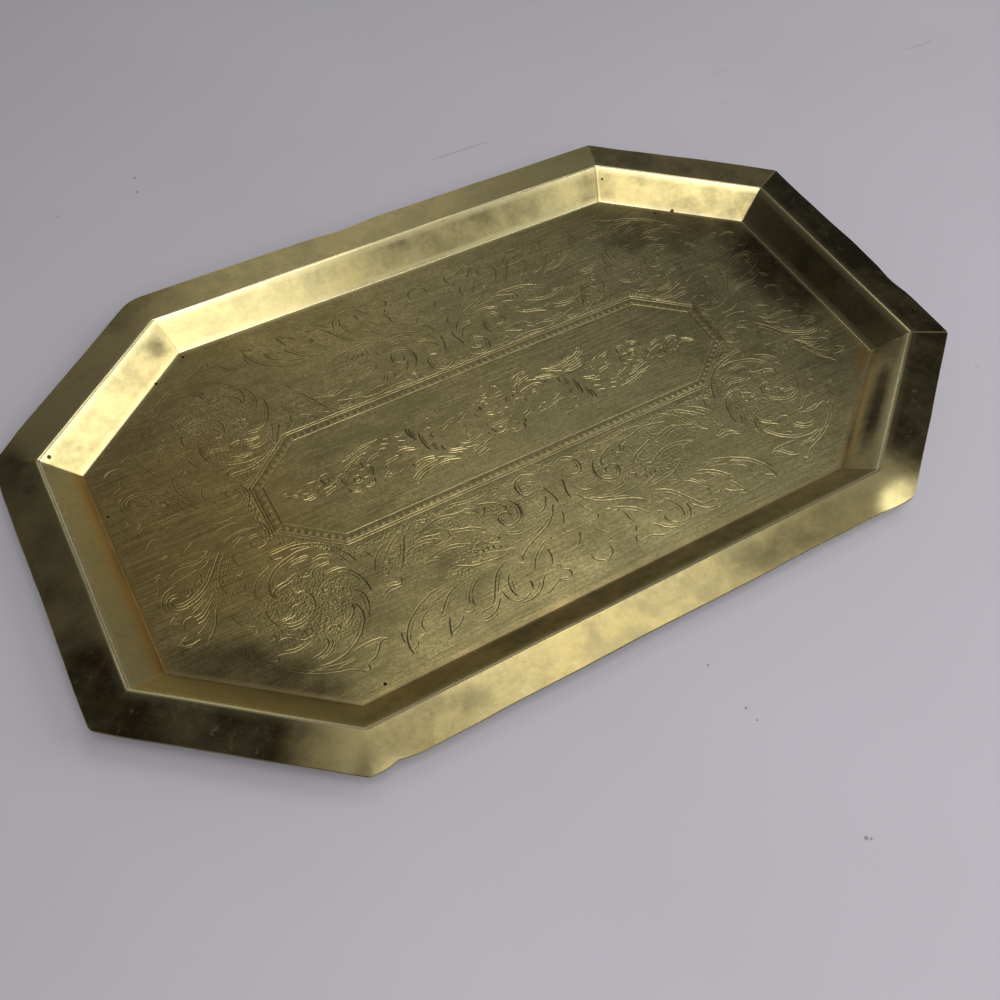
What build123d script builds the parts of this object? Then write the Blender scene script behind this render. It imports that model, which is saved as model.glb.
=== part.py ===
from build123d import *
import math
import os

# Shallow coin tray pressed from one sheet of brass. The plan is a long octagon: a rectangle whose four
# corners are cut off. A flat floor meets eight straight walls that lean outward and join in sharp mitres,
# and a narrow rim runs all round them. The middle of the floor carries an engraved frame: scribed lines
# that follow the tray's own octagon, with a row of raised beads between them.
#
# Frame: millimetres. X runs along the tray's length, Y across it, +Z up.
# The origin is on the resting face, under the middle of the floor.

# Overall plan, measured over the rim
tray_length = 234.0
tray_width = 147.0
corner_cut_along = 45.0
corner_cut_across = 36.0
rim_corner_radius = 1.6

# Section through the pressing
sheet_thickness = 0.8
rim_width = 9.8
rim_droop = 0.4
wall_run = 7.5
dish_depth = 7.1
foot_bend_radius = 0.7
shoulder_bend_radius = 0.5

# Engraved frame in the middle of the floor, measured over its outermost line
frame_length = 132.0
frame_width = 37.0
frame_cut_along = 14.0
frame_cut_across = 11.2
line_width = 0.36
line_depth = 0.14
outer_line_gap = 0.7
bead_band_width = 2.2
bead_diameter = 1.5
bead_crown_diameter = 0.8
bead_height = 0.14
bead_facets = 8
bead_pitch = 1.85


def octagon(length, width, cut_along, cut_across, inset=0):
    """Corners of a rectangle with cut corners, anticlockwise, with every side moved inward by inset."""
    cut_side = math.hypot(cut_along, cut_across)
    normal_x = cut_across / cut_side
    normal_y = cut_along / cut_side
    cut_distance = normal_x * length / 2 + normal_y * (width / 2 - cut_across) - inset
    x_end = length / 2 - inset
    y_side = width / 2 - inset
    x_corner = (cut_distance - normal_y * y_side) / normal_x
    y_corner = (cut_distance - normal_x * x_end) / normal_y
    return [
        (x_corner, -y_side),
        (x_end, -y_corner),
        (x_end, y_corner),
        (x_corner, y_side),
        (-x_corner, y_side),
        (-x_end, y_corner),
        (-x_end, -y_corner),
        (-x_corner, -y_side),
    ]


def tray_octagon(inset):
    return octagon(tray_length, tray_width, corner_cut_along, corner_cut_across, inset)


def frame_octagon(inset):
    return octagon(frame_length, frame_width, frame_cut_along, frame_cut_across, inset)


def carried_round(section, corners):
    """A section carried round an octagon with mitred corners. The section's X points out of the octagon."""
    side_middle = (0, corners[0][1])
    end_middle = (corners[1][0], 0)
    route = Polyline(side_middle, corners[0], corners[1], end_middle)
    across = Plane(origin=(*side_middle, 0), x_dir=(0, -1, 0), z_dir=(-1, 0, 0))
    quarter = sweep(across * section, path=route, transition=Transition.RIGHT)
    half = quarter + mirror(quarter, about=Plane.YZ)
    return half + mirror(half, about=Plane.XZ)


def offset_line(points, distance):
    """The same open line moved sideways to its right by a distance, its corners still sharp."""
    angles = [math.atan2(z1 - z0, u1 - u0) for (u0, z0), (u1, z1) in zip(points[:-1], points[1:])]
    moved = []
    for index, (u, z) in enumerate(points):
        before = angles[max(index - 1, 0)]
        after = angles[min(index, len(angles) - 1)]
        middle = (before + after) / 2
        reach = distance / math.cos((after - before) / 2)
        moved.append((u + reach * math.sin(middle), z - reach * math.cos(middle)))
    return moved


def sheet_section(floor_strip):
    """The strip of sheet from just inside the floor out to the rim's cut edge, with its two bends."""
    shoulder_height = sheet_thickness + dish_depth
    upper = [
        (-floor_strip, sheet_thickness),
        (0, sheet_thickness),
        (wall_run, shoulder_height),
        (wall_run + rim_width, shoulder_height - rim_droop),
    ]
    lower = offset_line(upper, sheet_thickness)
    upper_radii = [foot_bend_radius, shoulder_bend_radius + sheet_thickness]
    lower_radii = [foot_bend_radius + sheet_thickness, shoulder_bend_radius]
    top = FilletPolyline(*upper, radius=upper_radii)
    under = FilletPolyline(*lower, radius=lower_radii)
    inner_end = Line(upper[0], lower[0])
    cut_edge = Line(upper[-1], lower[-1])
    return make_face([top, cut_edge, under, inner_end])


def pressing():
    """The whole sheet: walls and rim carried round the floor, with the rim's corners rounded."""
    foot_inset = rim_width + wall_run
    floor_strip = 2 * (foot_bend_radius + sheet_thickness)
    walls = carried_round(sheet_section(floor_strip), tray_octagon(foot_inset))
    floor_edge = Polyline(*tray_octagon(foot_inset + floor_strip), close=True)
    floor = extrude(make_face(floor_edge), amount=sheet_thickness)
    sheet = walls + floor
    rim_level = dish_depth - rim_droop
    rim_corners = [
        edge
        for edge in sheet.edges().filter_by(GeomType.LINE)
        if edge.length < 2 * sheet_thickness and edge.center().Z > rim_level
    ]
    return fillet(rim_corners, radius=rim_corner_radius)


def scribed_line(inset):
    """The material that one scribed line of the frame takes out of the floor."""
    overrun = line_depth
    groove = Polyline(
        (-line_width, sheet_thickness + overrun),
        (0, sheet_thickness - line_depth),
        (line_width, sheet_thickness + overrun),
        close=True,
    )
    return carried_round(make_face(groove), frame_octagon(inset))


def bead():
    """One raised bead with eight facets and a flat crown. Its foot is sunk into the sheet."""
    foot = RegularPolygon(bead_diameter / 2, side_count=bead_facets)
    crown = RegularPolygon(bead_crown_diameter / 2, side_count=bead_facets)
    sides = loft([Pos(Z=sheet_thickness) * foot, Pos(Z=sheet_thickness + bead_height) * crown], ruled=True)
    foot_level = sheet_thickness / 2
    return sides + extrude(Pos(Z=foot_level) * foot, amount=sheet_thickness - foot_level)


def bead_places():
    """The middle of each bead: one on every corner of the row, and the rest evenly along its sides."""
    corners = frame_octagon(outer_line_gap + bead_band_width / 2)
    places = []
    for (start_x, start_y), (end_x, end_y) in zip(corners, corners[1:] + corners[:1]):
        count = round(math.hypot(end_x - start_x, end_y - start_y) / bead_pitch)
        for index in range(count):
            share = index / count
            places.append((start_x + share * (end_x - start_x), start_y + share * (end_y - start_y)))
    return places


tray = pressing()
for line_inset in (0, outer_line_gap, outer_line_gap + bead_band_width):
    tray -= scribed_line(line_inset)
one_bead = bead()
tray += [Pos(x, y) * one_bead for x, y in bead_places()]

os.makedirs("parts", exist_ok=True)
export_step(tray, "parts/tray.step")
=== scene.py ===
import math

import bpy
from mathutils import Euler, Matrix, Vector, noise
from mathutils.geometry import delaunay_2d_cdt


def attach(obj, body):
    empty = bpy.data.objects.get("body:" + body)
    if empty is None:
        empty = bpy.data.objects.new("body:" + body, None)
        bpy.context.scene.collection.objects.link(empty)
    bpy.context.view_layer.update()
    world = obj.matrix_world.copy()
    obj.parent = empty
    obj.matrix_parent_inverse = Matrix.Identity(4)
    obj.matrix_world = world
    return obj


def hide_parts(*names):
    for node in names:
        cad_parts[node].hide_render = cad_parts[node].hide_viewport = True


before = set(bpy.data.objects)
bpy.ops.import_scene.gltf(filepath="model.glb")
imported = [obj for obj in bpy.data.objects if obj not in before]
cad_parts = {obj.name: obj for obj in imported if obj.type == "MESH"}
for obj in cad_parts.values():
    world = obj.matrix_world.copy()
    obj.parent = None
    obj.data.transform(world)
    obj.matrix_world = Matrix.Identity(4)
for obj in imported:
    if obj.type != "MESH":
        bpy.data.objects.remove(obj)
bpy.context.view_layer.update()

# Lengths in this script are millimetres, as in the part's source, and become metres in the meshes.
MM = 0.001

# The pressing, as in the part's source
SIDES = 8
TRAY_LENGTH = 234.0
TRAY_WIDTH = 147.0
CORNER_CUT_ALONG = 45.0
CORNER_CUT_ACROSS = 36.0
SHEET = 0.8
RIM_WIDTH = 9.8
RIM_DROOP = 0.4
WALL_RUN = 7.5
DISH_DEPTH = 7.1
FOOT_BEND = 0.7
SHOULDER_BEND = 0.5
FOOT_INSET = RIM_WIDTH + WALL_RUN

# The pressing's mesh: how much tighter its foot is than in the source, the strip of floor it takes in,
# the rounding of its cut edge, the steps of its bends, and the gaps between its rows and stations
CRISPER_FOOT = 0.25
FLOOR_STRIP = 2.2
EDGE_SOFT = 0.2
EDGE_LIFT = 0.004
TOP_BEND_STEPS = 4
UNDER_BEND_STEPS = 3
TOP_ROW_GAP = 1.9
UNDER_ROW_GAP = 2.4
CRISP_GAP = 0.16
STATION_GAP = 1.9
STATION_STEPS = [0, 0.3, 0.7, 1.2, 1.9, 2.8, 4.0]

# Rounding of the corners in plan: each one on the rim's outline, then all on the shoulder and in the dish
OUTLINE_RADII = [3.4, 1.6, 1.4, 1.6, 10.0, 5.0, 2.4, 2.4]
SHOULDER_RADIUS = 0.9
DISH_RADIUS = 0.7

# The floor's mesh: gap and lean of its plain grid, its room to the walls and to the engraving, and how
# close two points of the triangles may come
GRID_GAP = 2.0
GRID_LEAN = 0.13
GRID_WALL_ROOM = 1.5
GRID_CUT_ROOM = 0.45
FLOOR_MERGE = 2e-3
UNDER_MERGE = 1e-3
SHARP_DEGREES = 14

# The engraved frame in the middle of the floor
FRAME_LENGTH = 132.0
FRAME_WIDTH = 37.0
FRAME_CUT_ALONG = 14.0
FRAME_CUT_ACROSS = 11.2
OUTER_LINE_GAP = 0.7
BEAD_BAND = 2.2
BEAD_RADIUS = 0.75
BEAD_HEIGHT = 0.08
BEAD_PITCH = 1.85
BEAD_SIDES = 10
BEAD_RINGS = (BEAD_RADIUS * 0.55, BEAD_RADIUS)
BEAD_MESH_SCALE = 1.005
BEAD_FOOT_REACH = 1.02
BEAD_FOOT_DIRT = 0.5
LINE_PIECE = 4.0

# Engraved strokes: full width and depth of the groove
HEAVY = (0.45, 0.105)
MEDIUM = (0.35, 0.085)
LIGHT = (0.26, 0.06)
LINE = (0.36, 0.09)
DARKEST_CUT = 0.07
FAINTEST_CUT = 0.02
# How finely a cut is divided, how far its ends run out, and how wide it still is at its ends
CUT_SPACING = 0.75
CUT_TAPER = 0.9
LONGEST_TAPER = 0.45
END_WIDTH_SHARE = 0.25
# Finer cuts beside the strokes: distance, and the fewest points that a stroke needs to get one
ECHO = (0.8, 9)
CLOSE_ECHOES = [(0.62, 5), (-0.62, 7)]
# Their spacing, the part of the stroke that they follow, and the fewest points that make one
ECHO_SPACING = 1.0
ECHO_START_SHARE = 0.2
ECHO_END_SHARE = 0.82
FEWEST_ECHO_POINTS = 4
FEWEST_CLOSE_ECHO_POINTS = 3
# The panel's garland and flowers: how finely a cut is divided, how far its ends run out, and how much
# wider and deeper it is
PANEL_CUT = (0.55, 0.55)
PANEL_WIDER = 1.12
PANEL_DEEPER = 1.35

# How the hand-made sheet wanders: height, length and shift of each wave
OUTLINE_WAVES = [
    (0.28, 23, (3.1, 7.7, 0)),
    (0.10, 8, (9.4, 1.2, 0)),
]
LIFT_WAVES = [
    (0.22, 30, (5.5, 2.8, 4)),
    (0.05, 9, (1.5, 6.1, 2)),
]
WALL_WAVES = [
    (0.10, 14, (0.4, 4.4, 8)),
]
FLOOR_WAVES = [
    (0.16, 34, (2.2, 8.8, 5)),
    (0.025, 11, (6.6, 3.3, 1)),
]
RIM_WAVE_REACH = 1.3
FLOOR_WAVE_FADE = 9.0

# Where the rim is bent: place in plan, reach, push outward, lift
DENTS = [
    ((-65.5, -74.0), 3.2, -0.9, -0.2),
    ((-71.0, -73.0), 5.0, 0.1, 0.3),
    ((117.0, -15.0), 7.0, -0.8, 0.1),
    ((117.0, 2.0), 12.0, 0.3, 0.0),
    ((-12.0, 73.5), 9.0, -0.45, 0.0),
    ((2.0, 73.5), 9.0, 0.3, 0.0),
    ((-117.0, 37.0), 12.0, -0.3, -0.5),
    ((69.5, -79.0), 12.5, 0.0, -2.7),
]

# Dark patina of the rim, partly a painted dark reflection, side by side from the near right cut
# anticlockwise:
# strength, and how far from the side's start and end it fades in
RIM_LEVELS = [
    (1.0, 9.0, 0.0),
    (1.0, 0.0, 0.0),
    (0.62, 0.0, 0.0),
    (0.0, 0.0, 0.0),
    (0.0, 0.0, 0.0),
    (0.72, 0.0, 0.0),
    (1.0, 0.0, 16.0),
    (0.0, 0.0, 0.0),
]
SHORTEST_FADE = 0.1
END_MARGIN = 0.2
# Warm stain along the foot of each side
FOOT_STAINS = [0.7, 0.1, 0.1, 0.0, 0.25, 1.0, 0.5, 0.5]
# Thin dark line in the foot bend of each side
FOOT_LINES = [0.5, 0.3, 0.1, 0.0, 0.0, 0.35, 0.6, 0.55]
# The dark line and the warm stain along the foot: how far inside it, how full, and their fade
FOOT_LINE_IN = 0.1
FOOT_LINE_CORE = 1.6
FOOT_LINE_FADE = 0.6
FOOT_STAIN_IN = -0.6
FOOT_STAIN_CORE = 1.25
FOOT_STAIN_FADE = 1.9
# Least dark patina of the underside, and the painted highlight, partly wear, on the cut edge and the foot's
# bend
UNDER_DARK = 0.3
EDGE_RUB_AND_HIGHLIGHT = 0.9
FOOT_RUB_AND_HIGHLIGHT = 0.7
SHOULDER_HIGHLIGHT_REACH = 0.8
FOOT_HIGHLIGHT_REACH = 0.6
# How far the floor's patina reaches up the wall, how far the wall's patina and painted dark reflection reach
# over the rim, and the warm tint's fade
FLOOR_DARKENING_REACH = 0.6
WALL_DARKENING_REACH = 0.3
WARM_FADE = 5.0
# Half the length over which the floor's colour turns greener, from left to right
GREEN_REACH = 55.0
# How strongly the walls and rim are brushed, against the floor, and how fast the floor's look begins
WALL_BRUSHED = 0.1
FLOOR_LOOK_FADE = 1.5

# Patina in soft oval patches, on the rim and walls partly a painted dark reflection: place in plan, half
# length, half width, turn in degrees, strength. A patch is full in its core, which a higher number makes
# larger.
PATCH_CORE = 1.4
RIM_DARK = [
    ((-112.0, -30.0), 26, 17, 90, 1.0),
    ((-115.0, 33.0), 15, 9, 90, 0.8),
    ((-74.0, 71.0), 18, 10, 20, 0.4),
    ((44.0, -69.0), 34, 8, 0, 0.42),
    ((-58.0, -69.0), 20, 8, 0, 0.3),
]
# Dark patches of the walls, partly patina and partly a painted dark reflection, above all on the right end
WALL_DARK = [
    ((14.0, 61.0), 50, 9, 0, 0.6),
    ((66.0, 58.0), 9, 9, 0, 0.5),
    ((84.0, 46.0), 30, 9, -39, 0.3),
    ((-70.4, 57.2), 4.4, 3.0, 40, 0.5),
    ((-84.0, 46.0), 34, 10, 39, 0.13),
    ((103.0, 0.0), 56, 16, 90, 0.92),
    ((0.0, -60.0), 100, 14, 0, 0.56),
    ((85.0, -46.0), 22, 2.8, 39, 0.9),
]
FLOOR_DARK = [
    ((0.0, 0.0), 400, 400, 0, 0.04),
    ((0.0, -38.0), 110, 34, 0, 0.18),
    ((97.0, 9.0), 40, 25, 90, 1.0),
    ((76.0, 36.0), 40, 19, -25, 0.6),
    ((-84.0, -39.5), 33, 12.5, -41, 0.8),
    ((76.0, 4.0), 42, 44, 0, 0.45),
    ((92.0, -26.0), 26, 19, 40, 0.55),
]
# Warm stains; the two on the far left of the floor paint a warm reflection there
WARM = [
    ((96.0, -30.0), 9, 3.0, 45, 0.7),
    ((-52.0, -58.0), 22, 4.0, 0, 0.5),
    ((-82.0, 4.0), 40, 44, 0, 0.42),
    ((-60.0, 42.0), 60, 22, 0, 0.13),
]

# Where the engraving has been rubbed shallow by polishing, and how much more dirt its cuts hold there
MORE_DIRT = 1.4
WORN = [
    ((-50.0, 42.0), 70, 26, 0, 0.5),
    ((30.0, 52.0), 40, 12, 0, 0.5),
    ((-86.0, 8.0), 34, 40, 0, 0.5),
]

# Punched ground between the leaves, in one quarter: middle, half length, half width, turn, strength
PUNCHED = [
    ((-66.0, -30.0), 19, 17, 0, 0.5),
    ((-84.0, -14.0), 9, 8, 0, 0.4),
    ((-36.0, -26.0), 20, 5, 8, 0.5),
    ((-14.0, -26.0), 18, 5, 0, 0.45),
    ((-28.0, -34.0), 12, 6, 30, 0.6),
]
# The punched band outside the frame: width, distance from the outer line, strength
PUNCHED_BAND = 4.0
PUNCHED_GAP = 0.2
PUNCHED_STRENGTH = 0.8

# Small dark pits: place and radius
PITS = [
    ((-104.6, 33.4, 6.8), 0.65),
    ((-59.7, -53.9, 0.8), 0.52),
    ((-74.6, 48.9, 0.8), 0.55),
    ((83.3, 42.5, 1.0), 0.7),
    ((68.9, 60.1, 5.4), 0.45),
    ((-65.4, 54.4, 0.8), 0.5),
    ((-98.0, 15.1, 0.8), 0.4),
    ((78.3, 44.3, 0.8), 0.5),
]

# Small marks on the table
TABLE_MARKS = [
    ((10.5, -130.0, 0.0), 0.55),
    ((11.3, -130.6, 0.0), 0.35),
    ((6.1, -95.8, 0.0), 0.4),
    ((6.5, -99.2, 0.0), 0.3),
    ((4.8, -83.6, 0.0), 0.35),
    ((-53.2, 129.7, 0.0), 0.6),
    ((-54.7, 123.4, 0.0), 0.5),
]

# Colours of the brass, of what lies on it or is worn out of it, and of its painted highlight and painted
# reflections
DEEP_BRASS = (0.64, 0.51, 0.215)
LIGHT_BRASS = (0.76, 0.625, 0.29)
FLECK = (0.40, 0.31, 0.14)
SMEAR = (0.25, 0.225, 0.095)
SPOT = (0.42, 0.30, 0.12)
GREENISH = (0.56, 0.515, 0.27)
GRAIN = (0.28, 0.225, 0.09)
GRIT = (0.25, 0.21, 0.085)
MOTTLE = (0.36, 0.32, 0.17)
# Warm stain colour, which on the far left of the floor paints a warm reflection
WARM_STAIN_AND_REFLECTION = (0.62, 0.35, 0.08)
# Tarnish colours, which also paint a dark reflection on the rim and walls
DEEP_TARNISH_AND_DARK_REFLECTION = (0.032, 0.024, 0.011)
THIN_TARNISH_AND_DARK_REFLECTION = (0.092, 0.075, 0.035)
CRUMB = (0.30, 0.24, 0.12)
SCRATCH = (0.86, 0.76, 0.48)
# Painted highlight along the bends and the cut edge, partly worn-bright brass
RUB_AND_HIGHLIGHT = (0.88, 0.77, 0.46)
PUNCH_SHADE = (0.20, 0.16, 0.075)
GROOVE_DIRT = (0.13, 0.095, 0.045)
PIT = (0.04, 0.025, 0.012)
# Largest share of each colour, where its pattern doesn't say it
SPOT_SHARE = 0.5
GREEN_SHARE = 0.75
GRAIN_SHARE = 0.55
GRIT_SHARE = 0.55
MOTTLE_SHARE = 0.45
CRUMB_SHARE = 0.35
RUB_AND_HIGHLIGHT_SHARE = 0.45
PUNCH_SHARE = 0.55
# Stops of the ramps that shade the middle of a punch mark and the bottom of a groove
PUNCH_STOPS = ((0.25, 1.0), (0.6, 0.0))
GROOVE_STOPS = ((0.15, 0.0), (0.85, 0.82))
# Punch marks in a metre, and the depth of the reliefs in metres
PUNCHES_IN_METRE = 2000
PUNCH_DEPTH = 0.00012
BRUSH_DEPTH = 0.00005
DENT_DEPTH = 0.0002
# The full part of a pit or a mark on the table, as a share of its radius
SPOT_CORE_SHARE = 0.6

# Colours of the table's painted falloff of light, from its shaded far left to its lit near right
TABLE_PAINTED_SHADE = (0.38, 0.355, 0.386)
TABLE_PAINTED_LIT = (0.76, 0.711, 0.76)
TABLE_SPECK = (0.22, 0.20, 0.22)
TABLE_MARK = (0.16, 0.14, 0.16)
TABLE_MARK_SHARE = 0.7
TABLE_ROUGHNESS = 0.55
TABLE_SLOPE_SCALE = (0.9, 1, 1)
TABLE_SLOPE_DEGREES = 60
TABLE_SLOPE_SHIFT = (0.42, 0, 0)

# Noise patterns of the brass and the table: the noise, then the two stops of the ramp that it goes through,
# if it goes through one
PATTERNS = {
    "clouds": dict(scale=18, detail=4, low=(0.35, 0.0), high=(0.68, 1.0)),
    "flecks": dict(scale=650, detail=5, roughness=0.7, low=(0.40, 0.0), high=(0.62, 1.0)),
    "long_smears": dict(
        scale=130, detail=5, roughness=0.7, stretch=(0.5, 1.5, 1), low=(0.46, 0.0), high=(0.64, 0.6)
    ),
    "broad_smears": dict(scale=38, detail=4, roughness=0.6, low=(0.42, 0.0), high=(0.60, 0.5)),
    "spots": dict(scale=95, detail=5, roughness=0.62, low=(0.62, 0.0), high=(0.74, 1.0)),
    "grain": dict(
        scale=1000, detail=3, roughness=0.55, stretch=(0.09, 1.9, 1), low=(0.3, 0.0), high=(0.7, 1.0)
    ),
    "grit": dict(scale=1500, detail=2, roughness=0.6, low=(0.42, 0.0), high=(0.62, 1.0)),
    "mottle": dict(scale=75, detail=8, roughness=0.82, low=(0.44, 0.0), high=(0.58, 1.0)),
    "warm_break": dict(scale=70, detail=5, roughness=0.6, low=(0.25, 0.45), high=(0.75, 1.0)),
    "dark_break": dict(scale=75, detail=6, roughness=0.66),
    "tarnish_and_dark_reflection_clouds": dict(scale=62, detail=7, roughness=0.7, low=(0.42, 0.0), high=(0.66, 1.0)),
    "crumbs": dict(scale=560, detail=4, roughness=0.65, low=(0.58, 0.0), high=(0.74, 1.0)),
    "left_scratches": dict(
        scale=800, detail=2, stretch=(0.14, 2.4, 1), turn=0.9, low=(0.70, 0.0), high=(0.74, 1.0)
    ),
    "right_scratches": dict(
        scale=760, detail=2, stretch=(0.12, 2.5, 1), turn=-0.5, low=(0.70, 0.0), high=(0.74, 1.0)
    ),
    "streaks": dict(scale=1000, detail=4, stretch=(0.08, 2.0, 1)),
    "blotches": dict(scale=40, detail=4, low=(0.3, -0.03), high=(0.7, 0.05)),
    "brush_marks": dict(scale=1000, detail=3, roughness=0.55, stretch=(0.07, 1.9, 1)),
    "small_dents": dict(scale=60, detail=2),
    "table_mottle": dict(scale=9, detail=4, low=(0.3, 0.94), high=(0.7, 1.0)),
    "table_specks": dict(scale=160, detail=1, low=(0.80, 0.0), high=(0.83, 0.45)),
    "table_hairs": dict(
        scale=40, detail=1, stretch=(0.5, 6, 1), turn=0.6, low=(0.765, 0.0), high=(0.785, 0.25)
    ),
}

# The table and the camera, in metres. The camera stands at the photograph's place.
TABLE_SIZE = 2.4
CAMERA_PLACE = (-0.09064, -0.14116, 0.20740)
CAMERA_DEGREES = (33.9982, -2.3245, -29.6757)
CAMERA_SENSOR = 36.0
CAMERA_LENS = 37.12
CAMERA_CLIP_START = 0.01

# The lamps: name, direction from the tray, distance, width, height, energy, colour
WHITE = (1, 1, 1)
DAYLIGHT = (0.93, 0.97, 1.0)
ROOM_LIGHT = (0.88, 0.95, 1.0)
LAMPS = [
    ("left_window", (-0.10, -0.69, 0.71), 1.6, 0.9, 0.9, 7.5, DAYLIGHT),
    ("right_window", (0.78, -0.36, 0.52), 1.6, 1.0, 1.2, 9, DAYLIGHT),
    ("key_lamp", (-0.05, -0.28, 0.96), 1.5, 0.9, 0.6, 7, WHITE),
    ("ceiling_lamp", (0.30, 0.20, 0.93), 1.5, 0.6, 0.5, 1.8, WHITE),
    ("back_lamp", (0.20, 0.74, 0.64), 1.5, 0.5, 0.45, 0.36, WHITE),
    ("far_room", (0.36, 0.87, 0.34), 1.6, 2.4, 0.4, 1.5, ROOM_LIGHT),
]
# The room's weak light from all round, and the plain backdrop that the camera sees
FILL_COLOUR = (0.93, 0.92, 0.96, 1)
FILL_STRENGTH = 0.08
BACKDROP_COLOUR = (0.48, 0.46, 0.49, 1)
BACKDROP_STRENGTH = 1.0


# The shape of the sheet

def octagon(length, width, cut_along, cut_across, inset):
    """Corners of a rectangle with cut corners, anticlockwise, with every side moved inward by inset."""
    cut_side = math.hypot(cut_along, cut_across)
    normal_x = cut_across / cut_side
    normal_y = cut_along / cut_side
    cut_distance = normal_x * length / 2 + normal_y * (width / 2 - cut_across) - inset
    x_end = length / 2 - inset
    y_side = width / 2 - inset
    x_corner = (cut_distance - normal_y * y_side) / normal_x
    y_corner = (cut_distance - normal_x * x_end) / normal_y
    corners = [
        (x_corner, -y_side), (x_end, -y_corner), (x_end, y_corner), (x_corner, y_side),
        (-x_corner, y_side), (-x_end, y_corner), (-x_end, -y_corner), (-x_corner, -y_side),
    ]
    return [Vector(corner) for corner in corners]


def tray_octagon(inset):
    return octagon(TRAY_LENGTH, TRAY_WIDTH, CORNER_CUT_ALONG, CORNER_CUT_ACROSS, inset)


def frame_octagon(inset):
    return octagon(FRAME_LENGTH, FRAME_WIDTH, FRAME_CUT_ALONG, FRAME_CUT_ACROSS, inset)


def sides_of(corners):
    """Each side of a closed outline, as its start and its end."""
    return list(zip(corners, corners[1:] + corners[:1]))


def inside(place, corners):
    """Whether a place lies within an outline whose corners run anticlockwise."""
    return all((end - start).cross(place - start) >= 0 for start, end in sides_of(corners))


def smooth_step(share):
    share = min(max(share, 0.0), 1.0)
    return share * share * (3 - 2 * share)


def wander(waves, position, share):
    """The sum of some waves of noise at a place, each scaled by the share."""
    return sum(
        height * noise.noise(position / length + Vector(shift)) * share for height, length, shift in waves
    )


def filleted(points, radii, steps):
    """An open line through points, with each inner corner rounded by its radius."""
    result = [points[0]]
    for before, corner, after, radius in zip(points, points[1:], points[2:], radii):
        before, corner, after = Vector(before), Vector(corner), Vector(after)
        into = (corner - before).normalized()
        out = (after - corner).normalized()
        turn = into.angle(out)
        reach = radius * math.tan(turn / 2)
        side = 1 if into.cross(out) > 0 else -1
        inward = Vector((-into.y, into.x)) * side
        centre = corner - into * reach + inward * radius
        for step in range(steps + 1):
            angle = turn * step / steps
            result.append(tuple(centre - inward * radius * math.cos(angle) + into * radius * math.sin(angle)))
    result.append(points[-1])
    return result


def divided(points, longest):
    """The same line with its long runs divided, and a row close to each bend to keep it crisp."""
    result = [points[0]]
    for start, end in zip(points, points[1:]):
        run = math.dist(start, end)
        shares = [1.0]
        if run > longest:
            guard = CRISP_GAP / run
            count = math.ceil(run / longest)
            shares = [guard] + [index / count for index in range(1, count)] + [1 - guard, 1.0]
        for share in shares:
            result.append((start[0] + share * (end[0] - start[0]), start[1] + share * (end[1] - start[1])))
    return result


def section_rows():
    """Rows of (inset from the rim's outline, height), and how many of them lie on the top face.

    They run from the floor over the top face, round the cut edge and back underneath.
    """
    slope = math.atan2(DISH_DEPTH, WALL_RUN)
    droop = math.atan2(-RIM_DROOP, RIM_WIDTH)
    top_corners = [
        (-FLOOR_STRIP, 0),
        (0, 0),
        (WALL_RUN, DISH_DEPTH),
        (WALL_RUN + RIM_WIDTH, DISH_DEPTH - RIM_DROOP),
    ]
    foot_shift = SHEET * math.tan(slope / 2)
    shoulder_shift = SHEET * math.tan((slope - droop) / 2)
    under_corners = [
        (-FLOOR_STRIP, -SHEET),
        (foot_shift, -SHEET),
        (WALL_RUN + math.sin(droop) * SHEET + math.cos(droop) * shoulder_shift,
         DISH_DEPTH - SHEET * math.cos(droop) + math.sin(droop) * shoulder_shift),
        (WALL_RUN + RIM_WIDTH + math.sin(droop) * SHEET, DISH_DEPTH - RIM_DROOP - SHEET * math.cos(droop)),
    ]
    top_radii = [FOOT_BEND - CRISPER_FOOT, SHOULDER_BEND + SHEET]
    under_radii = [FOOT_BEND + SHEET, SHOULDER_BEND]
    top = divided(filleted(top_corners, top_radii, TOP_BEND_STEPS), TOP_ROW_GAP)
    under = divided(filleted(under_corners, under_radii, UNDER_BEND_STEPS), UNDER_ROW_GAP)
    end_u, end_z = top[-1]
    low_u, low_z = under[-1]
    top[-1] = (end_u - EDGE_SOFT, end_z + EDGE_LIFT)
    under[-1] = (low_u - EDGE_SOFT, low_z)
    edge = [(end_u, end_z - EDGE_SOFT), (low_u, low_z + EDGE_SOFT)]
    line = top + edge + list(reversed(under))
    return [(FOOT_INSET - u, SHEET + z) for u, z in line], len(top)


def corner_radius(index, inset):
    """Rounding of each corner in plan: tight in the dish, a little softer on the rim's outline."""
    if inset > RIM_WIDTH:
        return DISH_RADIUS
    return SHOULDER_RADIUS + (OUTLINE_RADII[index] - SHOULDER_RADIUS) * (1 - inset / RIM_WIDTH)


def side_shares(length):
    """Where the stations stand along one side, close together near its corners."""
    start = [step / length for step in STATION_STEPS]
    middle_length = length - 2 * STATION_STEPS[-1]
    count = math.ceil(middle_length / STATION_GAP)
    middle = [(STATION_STEPS[-1] + middle_length * index / count) / length for index in range(1, count)]
    end = [1 - share for share in reversed(start)]
    return start + middle + end[:-1]


FOOT_CORNERS = tray_octagon(FOOT_INSET)
SIDE_LENGTHS = [(end - start).length for start, end in sides_of(FOOT_CORNERS)]
SIDE_SHARES = [side_shares(length) for length in SIDE_LENGTHS]
STATIONS = [(side, share) for side in range(SIDES) for share in SIDE_SHARES[side]]


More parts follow.
